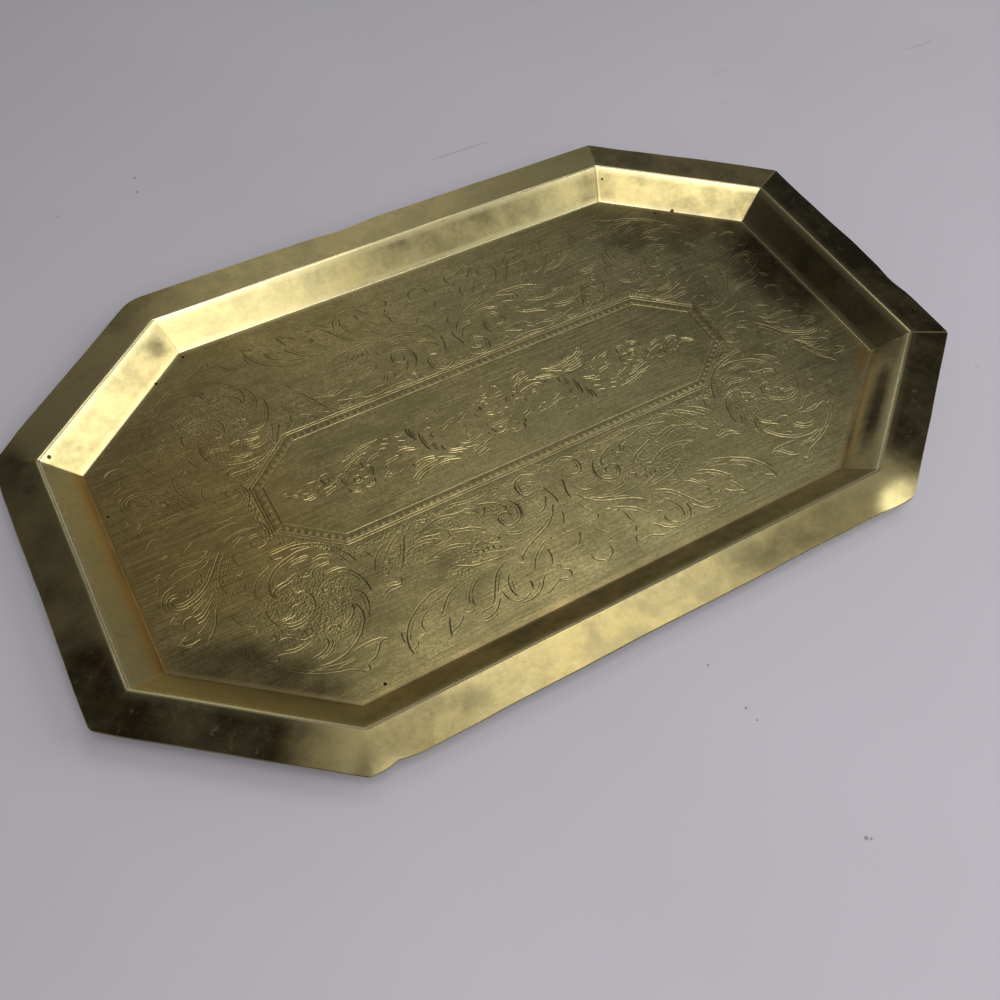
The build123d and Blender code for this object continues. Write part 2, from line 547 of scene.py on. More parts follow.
def ring(inset):
    """The stations of one ring round the tray, as (place, outward direction), rounded at its corners."""
    corners = tray_octagon(inset)
    stations = []
    for index in range(SIDES):
        start = corners[index]
        end = corners[(index + 1) % SIDES]
        along = (end - start).normalized()
        before = (start - corners[index - 1]).normalized()
        after = (corners[(index + 2) % SIDES] - end).normalized()
        side_length = (end - start).length
        for share in SIDE_SHARES[index]:
            from_start = share * side_length
            from_end = side_length - from_start
            place = start + along * from_start
            outward = Vector((along.y, -along.x))
            for corner, into, out, gap, sign, number in (
                (start, before, along, from_start, 1, index),
                (end, along, after, from_end, -1, (index + 1) % SIDES),
            ):
                turn = into.angle(out)
                radius = corner_radius(number, inset)
                reach = radius * math.tan(turn / 2)
                if gap < reach:
                    tangent = (into + out).normalized()
                    inward = Vector((-tangent.y, tangent.x))
                    centre = corner + inward * radius / math.cos(turn / 2)
                    angle = sign * gap / reach * turn / 2
                    outward = tangent * math.sin(angle) - inward * math.cos(angle)
                    place = centre + outward * radius
            stations.append((place, outward))
    return stations


def hand_made(x, y, inset):
    """How far the real rim and walls leave the drawn ones: outward, and up."""
    position = Vector((x, y, 0))
    rim_share = smooth_step(1 - inset / (RIM_WIDTH * RIM_WAVE_REACH))
    wall_share = smooth_step((FOOT_INSET - inset) / WALL_RUN)
    outline = wander(OUTLINE_WAVES, position, rim_share)
    lift = wander(LIFT_WAVES, position, rim_share)
    swell = wander(WALL_WAVES, position, wall_share) * (1 - rim_share)
    for place, reach, push, rise in DENTS:
        near = smooth_step(1 - math.dist((x, y), place) / reach) * rim_share
        outline += push * near
        lift += rise * near
    return outline + swell, lift


def floor_sag(x, y):
    """Slow rise and fall of the floor, never under the drawn level."""
    position = Vector((x, y, 0))
    edge_room = min(
        (end - start).normalized().cross(position.xy - start) for start, end in sides_of(FOOT_CORNERS)
    )
    calm = smooth_step((edge_room - FLOOR_STRIP) / FLOOR_WAVE_FADE)
    return calm * sum(
        height * (0.5 + 0.5 * noise.noise(position / length + Vector(shift)))
        for height, length, shift in FLOOR_WAVES
    )


def patch_strength(patches, x, y):
    """How strong the strongest of some soft oval patches is at a place."""
    strongest = 0.0
    for (middle_x, middle_y), half_length, half_width, turn, strength in patches:
        angle = math.radians(turn)
        along = (x - middle_x) * math.cos(angle) + (y - middle_y) * math.sin(angle)
        across = (y - middle_y) * math.cos(angle) - (x - middle_x) * math.sin(angle)
        distance = math.hypot(along / half_length, across / half_width)
        strongest = max(strongest, strength * smooth_step(PATCH_CORE - PATCH_CORE * distance))
    return strongest


def punched(x, y):
    """How strongly the ground is punched at a place of the floor."""
    place = Vector((x, y))
    outside = max(
        (place - start).cross((end - start).normalized()) for start, end in sides_of(frame_octagon(0))
    )
    band = 0.0
    if outside > PUNCHED_GAP:
        band = PUNCHED_STRENGTH * smooth_step(PATCH_CORE * (1 - outside / PUNCHED_BAND))
    between_leaves = patch_strength(PUNCHED, MIDDLE_X - abs(x - MIDDLE_X), MIDDLE_Y - abs(y - MIDDLE_Y))
    return max(band, between_leaves)


def patina_and_dark_reflection(x, y, inset, side, from_start, from_end):
    """Dark oxide, on the rim and walls partly a painted dark reflection, and warm stain at a place of the top
    face.
    """
    warm = patch_strength(WARM, x, y)
    if inset > FOOT_INSET - FLOOR_DARKENING_REACH:
        dark = patch_strength(FLOOR_DARK, x, y)
    elif inset > RIM_WIDTH - WALL_DARKENING_REACH:
        dark = patch_strength(WALL_DARK, x, y)
        warm *= smooth_step((inset - RIM_WIDTH) / WARM_FADE)
    else:
        level, fade_start, fade_end = RIM_LEVELS[side]
        level *= (
            smooth_step(from_start / max(fade_start, SHORTEST_FADE))
            * smooth_step((from_end + END_MARGIN) / max(fade_end, SHORTEST_FADE))
        )
        dark = max(level, patch_strength(RIM_DARK, x, y))
        warm = 0.0
    from_line = abs(inset - FOOT_INSET - FOOT_LINE_IN)
    from_stain = abs(inset - FOOT_INSET - FOOT_STAIN_IN)
    foot_line = FOOT_LINES[side] * smooth_step(FOOT_LINE_CORE - from_line / FOOT_LINE_FADE)
    foot_stain = FOOT_STAINS[side] * smooth_step(FOOT_STAIN_CORE - from_stain / FOOT_STAIN_FADE)
    return max(dark, foot_line), max(warm, foot_stain)


def greenness(x):
    """How green the floor's colour is: more so from left to right."""
    return smooth_step((x + GREEN_REACH) / (2 * GREEN_REACH))


# The engraving

def smooth_line(points, spacing):
    """A smooth line through given points, as evenly as the spacing asks."""
    if len(points) == 2:
        start, end = Vector(points[0]), Vector(points[1])
        count = max(2, math.ceil((end - start).length / spacing))
        return [start.lerp(end, index / count) for index in range(count + 1)]
    vectors = [Vector(point) for point in points]
    vectors = [vectors[0] * 2 - vectors[1]] + vectors + [vectors[-1] * 2 - vectors[-2]]
    result = [vectors[1]]
    for p0, p1, p2, p3 in zip(vectors, vectors[1:], vectors[2:], vectors[3:]):
        count = max(1, round((p2 - p1).length / spacing))
        for index in range(1, count + 1):
            t = index / count
            result.append(
                0.5 * (2 * p1 + (p2 - p0) * t + (2 * p0 - 5 * p1 + 4 * p2 - p3) * t * t
                       + (3 * p1 - p0 - 3 * p2 + p3) * t * t * t)
            )
    return result


def across_line(line, index):
    """The direction square to a line at one of its points, to its left."""
    ahead = line[min(index + 1, len(line) - 1)]
    behind = line[max(index - 1, 0)]
    along = (ahead - behind).normalized()
    return Vector((-along.y, along.x))


def nearest_on(place, start, end):
    """How far a place is from a straight piece of a cut, and which share of the piece is nearest to it."""
    run = end - start
    share = 0.0
    if run.length_squared > 0:
        share = min(max((place - start).dot(run) / run.length_squared, 0.0), 1.0)
    return (place - (start + run * share)).length, share


class Engraving:
    """The floor's cuts and beads: their lines for its triangles, and how deep the floor is at a place.

    They are kept by square cell. A cut is kept as straight pieces (start, end, start cut, end cut), where
    each cut is (half width, depth), and a bead as its middle.
    """

    CELL = 1.5
    MARGIN = 0.05

    def __init__(self):
        self.points = []
        self.edges = []
        self.cells = {}

    def cell_of(self, x, y):
        return math.floor(x / self.CELL), math.floor(y / self.CELL)

    def cells_round(self, place):
        """The cell of a place and the eight round it."""
        column, row = self.cell_of(place.x, place.y)
        return [
            (near_column, near_row)
            for near_column in (column - 1, column, column + 1)
            for near_row in (row - 1, row, row + 1)
        ]

    def add_line(self, line, closed=False):
        first = len(self.points)
        self.points.extend(line)
        for index in range(len(line) - 1):
            self.edges.append((first + index, first + index + 1))
        if closed:
            self.edges.append((first + len(line) - 1, first))

    def note_piece(self, start, end, start_cut, end_cut):
        reach = max(start_cut[0], end_cut[0]) + self.MARGIN
        low_column, low_row = self.cell_of(min(start.x, end.x) - reach, min(start.y, end.y) - reach)
        high_column, high_row = self.cell_of(max(start.x, end.x) + reach, max(start.y, end.y) + reach)
        for column in range(low_column, high_column + 1):
            for row in range(low_row, high_row + 1):
                self.cells.setdefault((column, row), []).append((start, end, start_cut, end_cut))

    def add_groove(self, points, weight, spacing=CUT_SPACING, taper=CUT_TAPER):
        """One cut of the tool: widest in its middle and running out to a point at both ends."""
        width, depth = weight
        line = smooth_line(points, spacing)
        travelled = [0.0]
        for start, end in zip(line, line[1:]):
            travelled.append(travelled[-1] + (end - start).length)
        total = travelled[-1]
        run_out = min(taper, total * LONGEST_TAPER)
        cuts = []
        for distance in travelled:
            share = smooth_step(min(distance, total - distance) / run_out)
            width_share = END_WIDTH_SHARE + (1 - END_WIDTH_SHARE) * share
            cuts.append((width / 2 * width_share, depth * share))
        banks = [across_line(line, index) * cut[0] for index, cut in enumerate(cuts)]
        self.add_line(line)
        self.add_line([place + bank for place, bank in zip(line, banks)])
        self.add_line([place - bank for place, bank in zip(line, banks)])
        for start, end, start_cut, end_cut in zip(line, line[1:], cuts, cuts[1:]):
            self.note_piece(start, end, start_cut, end_cut)

    def add_ring_line(self, corners, weight):
        """A scribed line all round an octagon, with sharp mitres."""
        width, depth = weight
        count = len(corners)
        loops = []
        for offset in (-width / 2, 0, width / 2):
            moved = []
            for index in range(count):
                into = (corners[index] - corners[index - 1]).normalized()
                out = (corners[(index + 1) % count] - corners[index]).normalized()
                tangent = (into + out).normalized()
                inward = Vector((-tangent.y, tangent.x))
                moved.append(corners[index] + inward * offset / math.cos(into.angle(out) / 2))
            loops.append(moved)
        for loop in loops:
            line = []
            for start, end in sides_of(loop):
                pieces = math.ceil((end - start).length / LINE_PIECE)
                line.extend(start.lerp(end, piece / pieces) for piece in range(pieces))
            self.add_line(line, closed=True)
        cut = (width / 2, depth)
        for start, end in sides_of(loops[1]):
            pieces = math.ceil((end - start).length / LINE_PIECE)
            for piece in range(pieces):
                piece_start = start.lerp(end, piece / pieces)
                piece_end = start.lerp(end, (piece + 1) / pieces)
                self.note_piece(piece_start, piece_end, cut, cut)

    def add_bead(self, centre):
        self.points.append(centre)
        for radius in BEAD_RINGS:
            line = []
            for index in range(BEAD_SIDES):
                angle = math.tau * index / BEAD_SIDES
                line.append(centre + Vector((math.cos(angle), math.sin(angle))) * radius * BEAD_MESH_SCALE)
            self.add_line(line, closed=True)
        for cell in self.cells_round(centre):
            self.cells.setdefault(cell, []).append(centre)

    def leaves_room(self, place, room):
        """Whether no cut and no bead comes closer to a place than the room it needs."""
        for cell in self.cells_round(place):
            for item in self.cells.get(cell, ()):
                if isinstance(item, Vector):
                    if (place - item).length < BEAD_RADIUS + room:
                        return False
                    continue
                start, end, start_cut, end_cut = item
                distance, _ = nearest_on(place, start, end)
                if distance < max(start_cut[0], end_cut[0]) + room:
                    return False
        return True

    def height(self, place):
        """Level of the worked floor against the plain one, and how near a groove's bottom the place is."""
        deepest = 0.0
        raised = 0.0
        share_of_cut = 0.0
        for item in self.cells.get(self.cell_of(place.x, place.y), ()):
            if isinstance(item, Vector):
                reach = (place - item).length / BEAD_RADIUS
                if reach < 1:
                    raised = max(raised, BEAD_HEIGHT * (1 - reach * reach))
                elif reach < BEAD_FOOT_REACH:
                    share_of_cut = max(share_of_cut, BEAD_FOOT_DIRT)
                continue
            start, end, start_cut, end_cut = item
            distance, share = nearest_on(place, start, end)
            half_width = start_cut[0] + (end_cut[0] - start_cut[0]) * share
            depth = start_cut[1] + (end_cut[1] - start_cut[1]) * share
            if distance < half_width:
                closeness = 1 - distance / half_width
                deepest = max(deepest, depth * closeness)
                share_of_cut = max(share_of_cut, min(depth / DARKEST_CUT, 1) * closeness)
        return raised - deepest, share_of_cut


def engrave_frame(engraving):
    for inset in (0, OUTER_LINE_GAP, OUTER_LINE_GAP + BEAD_BAND):
        engraving.add_ring_line(frame_octagon(inset), LINE)
    for start, end in sides_of(frame_octagon(OUTER_LINE_GAP + BEAD_BAND / 2)):
        count = round((end - start).length / BEAD_PITCH)
        for index in range(count):
            engraving.add_bead(start.lerp(end, index / count))


# The ornament, read from the photograph, as places in plan from the tray's middle. The border is
# given as its quarter with negative x and y, and the other three quarters mirror it.

END_MOTIF = {
    HEAVY: [
        [(-93.3, 0.3), (-92.6, -0.9), (-91.7, -1.9), (-90.5, -2.2), (-89.5, -2), (-88.9, -1.7)],
        [(-94, -7.2), (-93.6, -6.6), (-93, -6.4), (-92.3, -6.8), (-91.8, -7.4), (-91.5, -7.9)],
        [(-84.5, -8.9), (-83.2, -8.4), (-82.2, -7.8), (-81.4, -7), (-81, -6.6)],
        [(-86.3, -11.9), (-85.6, -11.6), (-85, -11.1), (-84.8, -10.3), (-84.8, -9.2)],
        [(-89.9, -13.7), (-88.8, -13.9), (-88.1, -13.5), (-87.9, -12.8), (-87.8, -12)],
        [(-78.4, -6), (-80.2, -8.1), (-81.8, -10.2), (-83.4, -12.2), (-84.8, -13.5), (-86.2, -14.4),
         (-87.9, -15.2), (-89.7, -15.7), (-91.3, -15.8), (-92.6, -15.2), (-93.1, -14.2), (-92.9, -13.3),
         (-92.1, -12.95), (-91.2, -13.2), (-90.8, -13.7)],
    ],
    MEDIUM: [
        [(-85.9, -3), (-85.2, -2.1), (-83.9, -1.4), (-82.6, -0.7)],
        [(-94.1, -6.1), (-93.6, -5.7), (-92.9, -5.6), (-92, -6), (-91.5, -6.4)],
        [(-91, -7.8), (-90.2, -7), (-88.9, -6.5), (-87.5, -6.4), (-85.9, -6.6), (-84.2, -6.8),
         (-82.5, -6.4), (-80.8, -5.7)],
        [(-85.8, -5.7), (-84.8, -5.9), (-83.6, -6), (-82.2, -5.7), (-81.2, -5.1), (-80.5, -4)],
        [(-94.1, -8), (-94.2, -9.1), (-94.6, -10), (-95, -11.1)],
        [(-90.8, -9.9), (-92.6, -10.4), (-93.8, -11.1), (-94.6, -12.4), (-94.9, -14), (-94.6, -15.3),
         (-93.7, -16.4), (-92.3, -17)],
        [(-85.2, -14.7), (-87.2, -15.8), (-89.3, -16.4), (-91.3, -16.5), (-92.9, -15.9), (-93.7, -14.7),
         (-93.8, -13.5), (-93.2, -12.5), (-92.1, -12.1), (-91, -12.4), (-90.3, -13.1)],
    ],
    LIGHT: [
        [(-87.8, -3), (-87.5, -3.9), (-86.5, -4.2), (-85.6, -4.5)],
        [(-83.4, -5.4), (-83, -4.8), (-82.2, -4.2)],
        [(-91.1, -9.5), (-89, -9.1), (-87, -8.8), (-84.5, -8.2)],
    ],
}
END_FAN = {
    HEAVY: [
        [(-89.1, -26.4), (-87.6, -25.2), (-86.4, -23.7), (-85.6, -22.1), (-84.8, -20.2), (-84.3, -19.1)],
        [(-95.6, -23.9), (-94.8, -24.6), (-94, -25.2), (-92.3, -25.6), (-90.2, -25.2)],
    ],
    MEDIUM: [
        [(-89.9, -18.6), (-88.6, -18), (-87, -17.2), (-85.3, -16.3)],
        [(-89.8, -19.5), (-88.7, -19.5), (-87.5, -19), (-86.1, -17.9), (-84.5, -16.5), (-84, -15.9)],
        [(-89.6, -20.5), (-88.3, -20.3), (-87.2, -19.8), (-85.9, -18.6), (-84.5, -17.2)],
        [(-89.6, -21.4), (-88, -21.3), (-87, -20.6), (-85.9, -19.4)],
        [(-93.3, -17.4), (-94.5, -18), (-94.8, -18.6), (-94, -19.1), (-92.6, -19.8)],
        [(-89.9, -19), (-91.3, -19.1), (-92.2, -19.8), (-92.6, -20.9), (-92.2, -22.1)],
        [(-92.6, -23), (-93.7, -23.7), (-94.8, -24.4)],
        [(-90.2, -25.8), (-90.3, -26.9), (-89.7, -27.5), (-88.6, -26.3)],
    ],
    LIGHT: [
        [(-89.6, -17.6), (-88.3, -17.1), (-86.7, -16.4), (-85.9, -15.9)],
        [(-90.7, -23.8), (-89.1, -23.2), (-87.5, -21.8), (-86.7, -21)],
        [(-95.5, -24.1), (-94.9, -25), (-93.7, -25.8), (-92.3, -26.1)],
    ],
}
INNER_LEAF = {
    HEAVY: [
        [(-80.5, -18.4), (-80, -17.4)],
        [(-77.4, -18.6), (-77, -17.2), (-76.5, -16.3)],
        [(-77.5, -14), (-76.7, -14.3), (-75.9, -13.9), (-75.7, -12.9)],
        [(-75.4, -7.2), (-74.6, -6.2), (-73.5, -5.5), (-72.2, -5.1)],
        [(-68.6, -1.8), (-67.8, -2.8), (-67, -4.2), (-66.6, -5.6), (-66.8, -7.2), (-67.4, -8.4),
         (-68.4, -9.2), (-69.5, -9.6), (-70.7, -9.5)],
        [(-67.4, 1.9), (-66.9, 1.1), (-66.7, 0.3)],
        [(-68.3, 1.5), (-68.1, 0.6)],
    ],
    MEDIUM: [
        [(-78.2, -7.5), (-79.4, -8.9), (-80.5, -10.8), (-81.4, -12.7), (-81.7, -14.5), (-81.6, -16.2),
         (-81, -17.8)],
        [(-76.4, -7.6), (-76.7, -8.8), (-76.6, -10), (-76.3, -11.3), (-75.9, -12), (-75.4, -12.5)],
        [(-78.4, -1.4), (-77.6, -0.9), (-76.3, -0.5), (-74.8, -0.3), (-73.3, -0.4), (-72, -0.9)],
        [(-69.2, -6.5), (-70.2, -6.2), (-71.2, -6.5), (-71.7, -7.4), (-71.5, -8.6), (-70.8, -9.4)],
        [(-71.8, -6), (-70.6, -5.6), (-69.4, -5.9), (-68.6, -6.6)],
        [(-69.5, 1.3), (-69.4, 0.5)],
    ],
    LIGHT: [
        [(-79.4, -17.2), (-78.9, -18.3), (-78.1, -19), (-77.5, -19.2)],
        [(-76.5, -18.6), (-76.2, -17.6)],
        [(-78, -9.2), (-79.4, -11.8), (-80, -13.5)],
        [(-77.5, -9.2), (-78.6, -11.3), (-79.2, -13)],
        [(-77, -4.6), (-76, -3.9), (-74.5, -3.4), (-72.8, -3.2), (-71.2, -3.3), (-69.8, -3.6),
         (-68.6, -4.4), (-68, -5.6)],
        [(-75.2, -5.3), (-74, -4.8), (-72.5, -4.6)],
    ],
}
OUTER_SPRIGS = {
    HEAVY: [
        [(-79.7, -29.9), (-78.9, -29.5), (-78.5, -28.6)],
        [(-83.4, -34.1), (-83, -32)],
        [(-77.4, -37), (-77.3, -38), (-77.5, -38.6)],
    ],
    MEDIUM: [
        [(-82.6, -22.6), (-81.9, -25.3), (-81, -26.6), (-79.7, -27.7), (-78.6, -28.1)],
        [(-82.8, -34.6), (-82.5, -32.6)],
        [(-81.8, -32), (-81.3, -33.9), (-80.2, -36.1), (-79.2, -37.3), (-78.1, -38), (-77.1, -38.1)],
    ],
    LIGHT: [
        [(-82, -26.2), (-80.8, -27.8), (-79.4, -28.7)],
        [(-85.3, -29.9), (-84.8, -31.5), (-84, -32.8), (-83.6, -33.8)],
        [(-82, -34.2), (-81, -36), (-80.1, -37.2)],
        [(-81.6, -30.7), (-80.5, -32.9), (-78.6, -34.2)],
    ],
}
MEDALLION = {
    HEAVY: [
        [(-68.8, -12.6), (-67, -12.7), (-65.2, -12.6), (-63.5, -12.7), (-61.7, -13.1), (-59.8, -13.8),
         (-57.9, -14.8), (-56.3, -16.1), (-54.9, -17.5), (-53.8, -19.2), (-52.8, -21), (-52, -23.2)],
        [(-72.3, -24), (-72.7, -22.1), (-72.4, -20.5), (-71.9, -18.9), (-70.8, -17.5), (-69.2, -16.3),
         (-67.3, -15.5), (-65.2, -15), (-63.5, -14.6), (-61.7, -14.7), (-59.8, -15)],
        [(-72.3, -23.9), (-72, -22.1), (-71.1, -21.2), (-70, -20.9), (-68.4, -20.7), (-66.8, -20.2),
         (-65.4, -19.6)],
        [(-60, -23.6), (-59, -23.3), (-57.1, -23.2), (-55.7, -23.5), (-54.7, -24.3), (-53.6, -25.9),
         (-52.8, -27.8), (-52.4, -29.9), (-52.4, -32.3)],
        [(-61.9, -27.2), (-60.8, -27)],
        [(-61.9, -28.3), (-60.8, -27.8)],
        [(-59.5, -25.9), (-58.7, -25.9)],
        [(-59.5, -27.5), (-58.6, -27.4)],
        [(-66, -26.2), (-66.8, -27.2), (-67.3, -28.3)],
        [(-76.6, -34), (-75.9, -33.4), (-75.8, -32.1), (-75.9, -31.3)],
        [(-70.9, -41.1), (-69.5, -41), (-67.8, -40.6), (-66.5, -39.6), (-66.1, -38.5), (-66.4, -37.7)],
        [(-70, -41.8), (-68.1, -41.6), (-66.5, -40.7), (-65.4, -39.6), (-65.4, -38.5)],
        [(-61.9, -37.9), (-61.1, -37.1), (-59.8, -36.3), (-58.4, -35.2), (-57.7, -34), (-57.9, -32.4)],
        [(-57.6, -32.6), (-56.8, -33.7), (-56.4, -35.3), (-56.8, -37.5), (-57.9, -39.1), (-59.5, -41),
         (-61.4, -42.3), (-63.5, -43.4), (-65.4, -43.8), (-67.8, -44), (-70.2, -43.6)],
        [(-61.8, -49.7), (-61, -49.3), (-60.8, -48.5), (-61.1, -47.8)],
        [(-60.7, -47.7), (-59.2, -47.4), (-57.9, -46.6), (-57.1, -45.5), (-56.3, -44.6), (-55.2, -44.2),
         (-54.1, -44.5)],
    ],
    MEDIUM: [
        [(-69.2, -12.2), (-69.1, -13.2), (-68.4, -14.2), (-66.5, -14.4)],
        [(-75.9, -21.8), (-75.9, -20.5), (-75.1, -18.6), (-73.8, -17.1), (-72.2, -16.1), (-70, -15.1)],
        [(-65.4, -20), (-65.2, -21.2), (-64.1, -21.7), (-62.6, -21.7), (-61.9, -20.8), (-60.6, -20.4),
         (-59, -20.4), (-57.6, -20.5)],
        [(-61.9, -21.7), (-60.8, -21.2), (-59.2, -20.9), (-57.6, -21)],
        [(-62.2, -27.5), (-61.9, -26.2), (-61.1, -25.3), (-59, -24.5)],
        [(-55.7, -29.4), (-54.7, -30.7), (-54.1, -32.3), (-54.2, -34.2), (-54.8, -36.1), (-55.9, -38.1)],
        [(-68, -25.1), (-67.3, -24.7), (-66, -24.8), (-65, -25.9), (-64.6, -27.5), (-65, -29.4),
         (-66.2, -30.7), (-67.8, -31.7), (-69.7, -32.1), (-71.3, -32), (-72.7, -31.5), (-74, -30.5),
         (-75, -28.8), (-75.4, -27.2), (-75.2, -25.1)],
        [(-67.9, -28.3), (-68.2, -27.5), (-68.9, -27.3), (-69.6, -27.6), (-70, -28.6), (-70.8, -29.2),
         (-72.2, -29.4), (-73.2, -29.2)],
        [(-69.5, -29.5), (-70.5, -29.8), (-72.2, -29.9), (-73.2, -29.8)],
        [(-75.8, -33.7), (-74, -33.8), (-73, -34.4), (-71.9, -35.4), (-70.5, -36.2), (-68.4, -36)],
        [(-77.3, -36.9), (-75.7, -37.3), (-73.8, -37.9), (-71.9, -37.9), (-69.7, -37.3), (-68.4, -36.7)],
        [(-69.5, -42.2), (-67.8, -42), (-66.2, -41.2), (-64.9, -39.8)],
        [(-65.7, -36.9), (-65.2, -36.3), (-63.8, -35.8), (-62.7, -36.5), (-62.2, -37.7)],
        [(-80, -37.7), (-78.2, -39.5), (-77, -41), (-75.4, -42.3), (-73.5, -43.8), (-71.3, -45),
         (-68.9, -46.1), (-66.5, -46.9), (-64.1, -47.7), (-62.7, -48.8), (-61.8, -49.7)],
        [(-62.5, -43.8), (-60.3, -43.5), (-58.2, -43.4), (-56.5, -43.5), (-54.9, -43.9)],
    ],
    LIGHT: [
        [(-68.7, -11.9), (-65.2, -11.9), (-62.5, -12), (-61.1, -12.4)],
        [(-75.4, -22.9), (-75, -21.3), (-74, -20.1)],
        [(-66, -16.5), (-63, -16.3), (-61.1, -16.6)],
        [(-65.7, -17.2), (-63, -16.8), (-61.1, -17.1)],
        [(-66.8, -17.8), (-64.6, -17.4), (-61.9, -17.5)],
        [(-72, -24), (-71.6, -22.7), (-70.8, -21.8)],
        [(-61.5, -19), (-60.3, -18.7), (-58.7, -18.75), (-57.1, -19.7)],
        [(-61.1, -18.1), (-59, -17.9), (-57.1, -18.5), (-55.5, -20)],
        [(-60, -22.9), (-59.2, -22.7), (-57.6, -22.5), (-56.3, -22.8)],
        [(-55.1, -35.8), (-55.7, -37.5)],
        [(-68, -23.9), (-67.8, -23.5), (-67, -23.4)],
        [(-72.2, -32.6), (-69.7, -32.9), (-67.8, -32.3)],
        [(-73.2, -43.9), (-71.1, -44.1), (-68.9, -44.4), (-66.5, -45), (-64.1, -45.3), (-62.5, -45.1)],
        [(-66.8, -45.8), (-64.1, -45.8), (-62.5, -45.7)],
        [(-63.5, -41.4), (-61.9, -40.4)],
        [(-56.5, -45.5), (-55.7, -45), (-54.4, -44.9)],
        [(-58.2, -16.2), (-56.3, -17.8), (-54.9, -19.7), (-54.1, -21.6), (-53.6, -23.5)],
        [(-57.1, -18.9), (-55.5, -20.5), (-54.4, -22.1)],
    ],
}
HATCHED_LEAF = {
    HEAVY: [
        [(-39, -21.9), (-40.1, -23.7), (-40.9, -25.5), (-41.8, -26.9), (-42.7, -28.5), (-43.5, -29.6),
         (-44.6, -30.3)],
        [(-46.6, -26.7), (-45.8, -26.9), (-45.2, -27.8)],
        [(-44.8, -25.8), (-44.3, -26.4), (-44.1, -26.9)],
        [(-43.9, -24.6), (-43.4, -25), (-43.1, -25.6)],
        [(-42.3, -23.7), (-42.1, -24.3)],
        [(-41.6, -22.8), (-41.4, -23.2)],
        [(-47.8, -29.1), (-47.2, -29.3), (-46.7, -30)],
        [(-47.8, -30), (-47.2, -30.6)],
        [(-46.4, -28.2), (-45.9, -28.9)],
        [(-48.8, -30.9), (-48.2, -31.6)],
        [(-50.7, -34.6), (-49.9, -33.9), (-48.8, -33.4), (-47.7, -33.1), (-46.8, -33.4), (-45.7, -33.6),
         (-45.1, -33), (-45, -32.2), (-45.1, -31.7)],
    ],
    MEDIUM: [
        [(-49.5, -28), (-49, -26.7), (-48.2, -25.2), (-47.2, -23.9), (-45.9, -22.8), (-44.6, -22.1),
         (-43.5, -21.9)],
        [(-46.7, -26.4), (-45.9, -25.4), (-44.8, -24.3), (-43.5, -23.2), (-42, -22), (-40.7, -21.2),
         (-39, -20.7)],
        [(-50.9, -35.4), (-49.6, -34.6), (-48.3, -34.2), (-46.8, -34.2), (-45.5, -34.1)],
        [(-50.9, -23), (-50.4, -22.1), (-49.6, -21.3)],
        [(-49.6, -21.3), (-49.1, -22.1), (-48.7, -23.2), (-48.3, -24.3)],
    ],
    LIGHT: [
        [(-50.1, -33.5), (-49.2, -32.9), (-48.1, -32.6)],
    ],
}
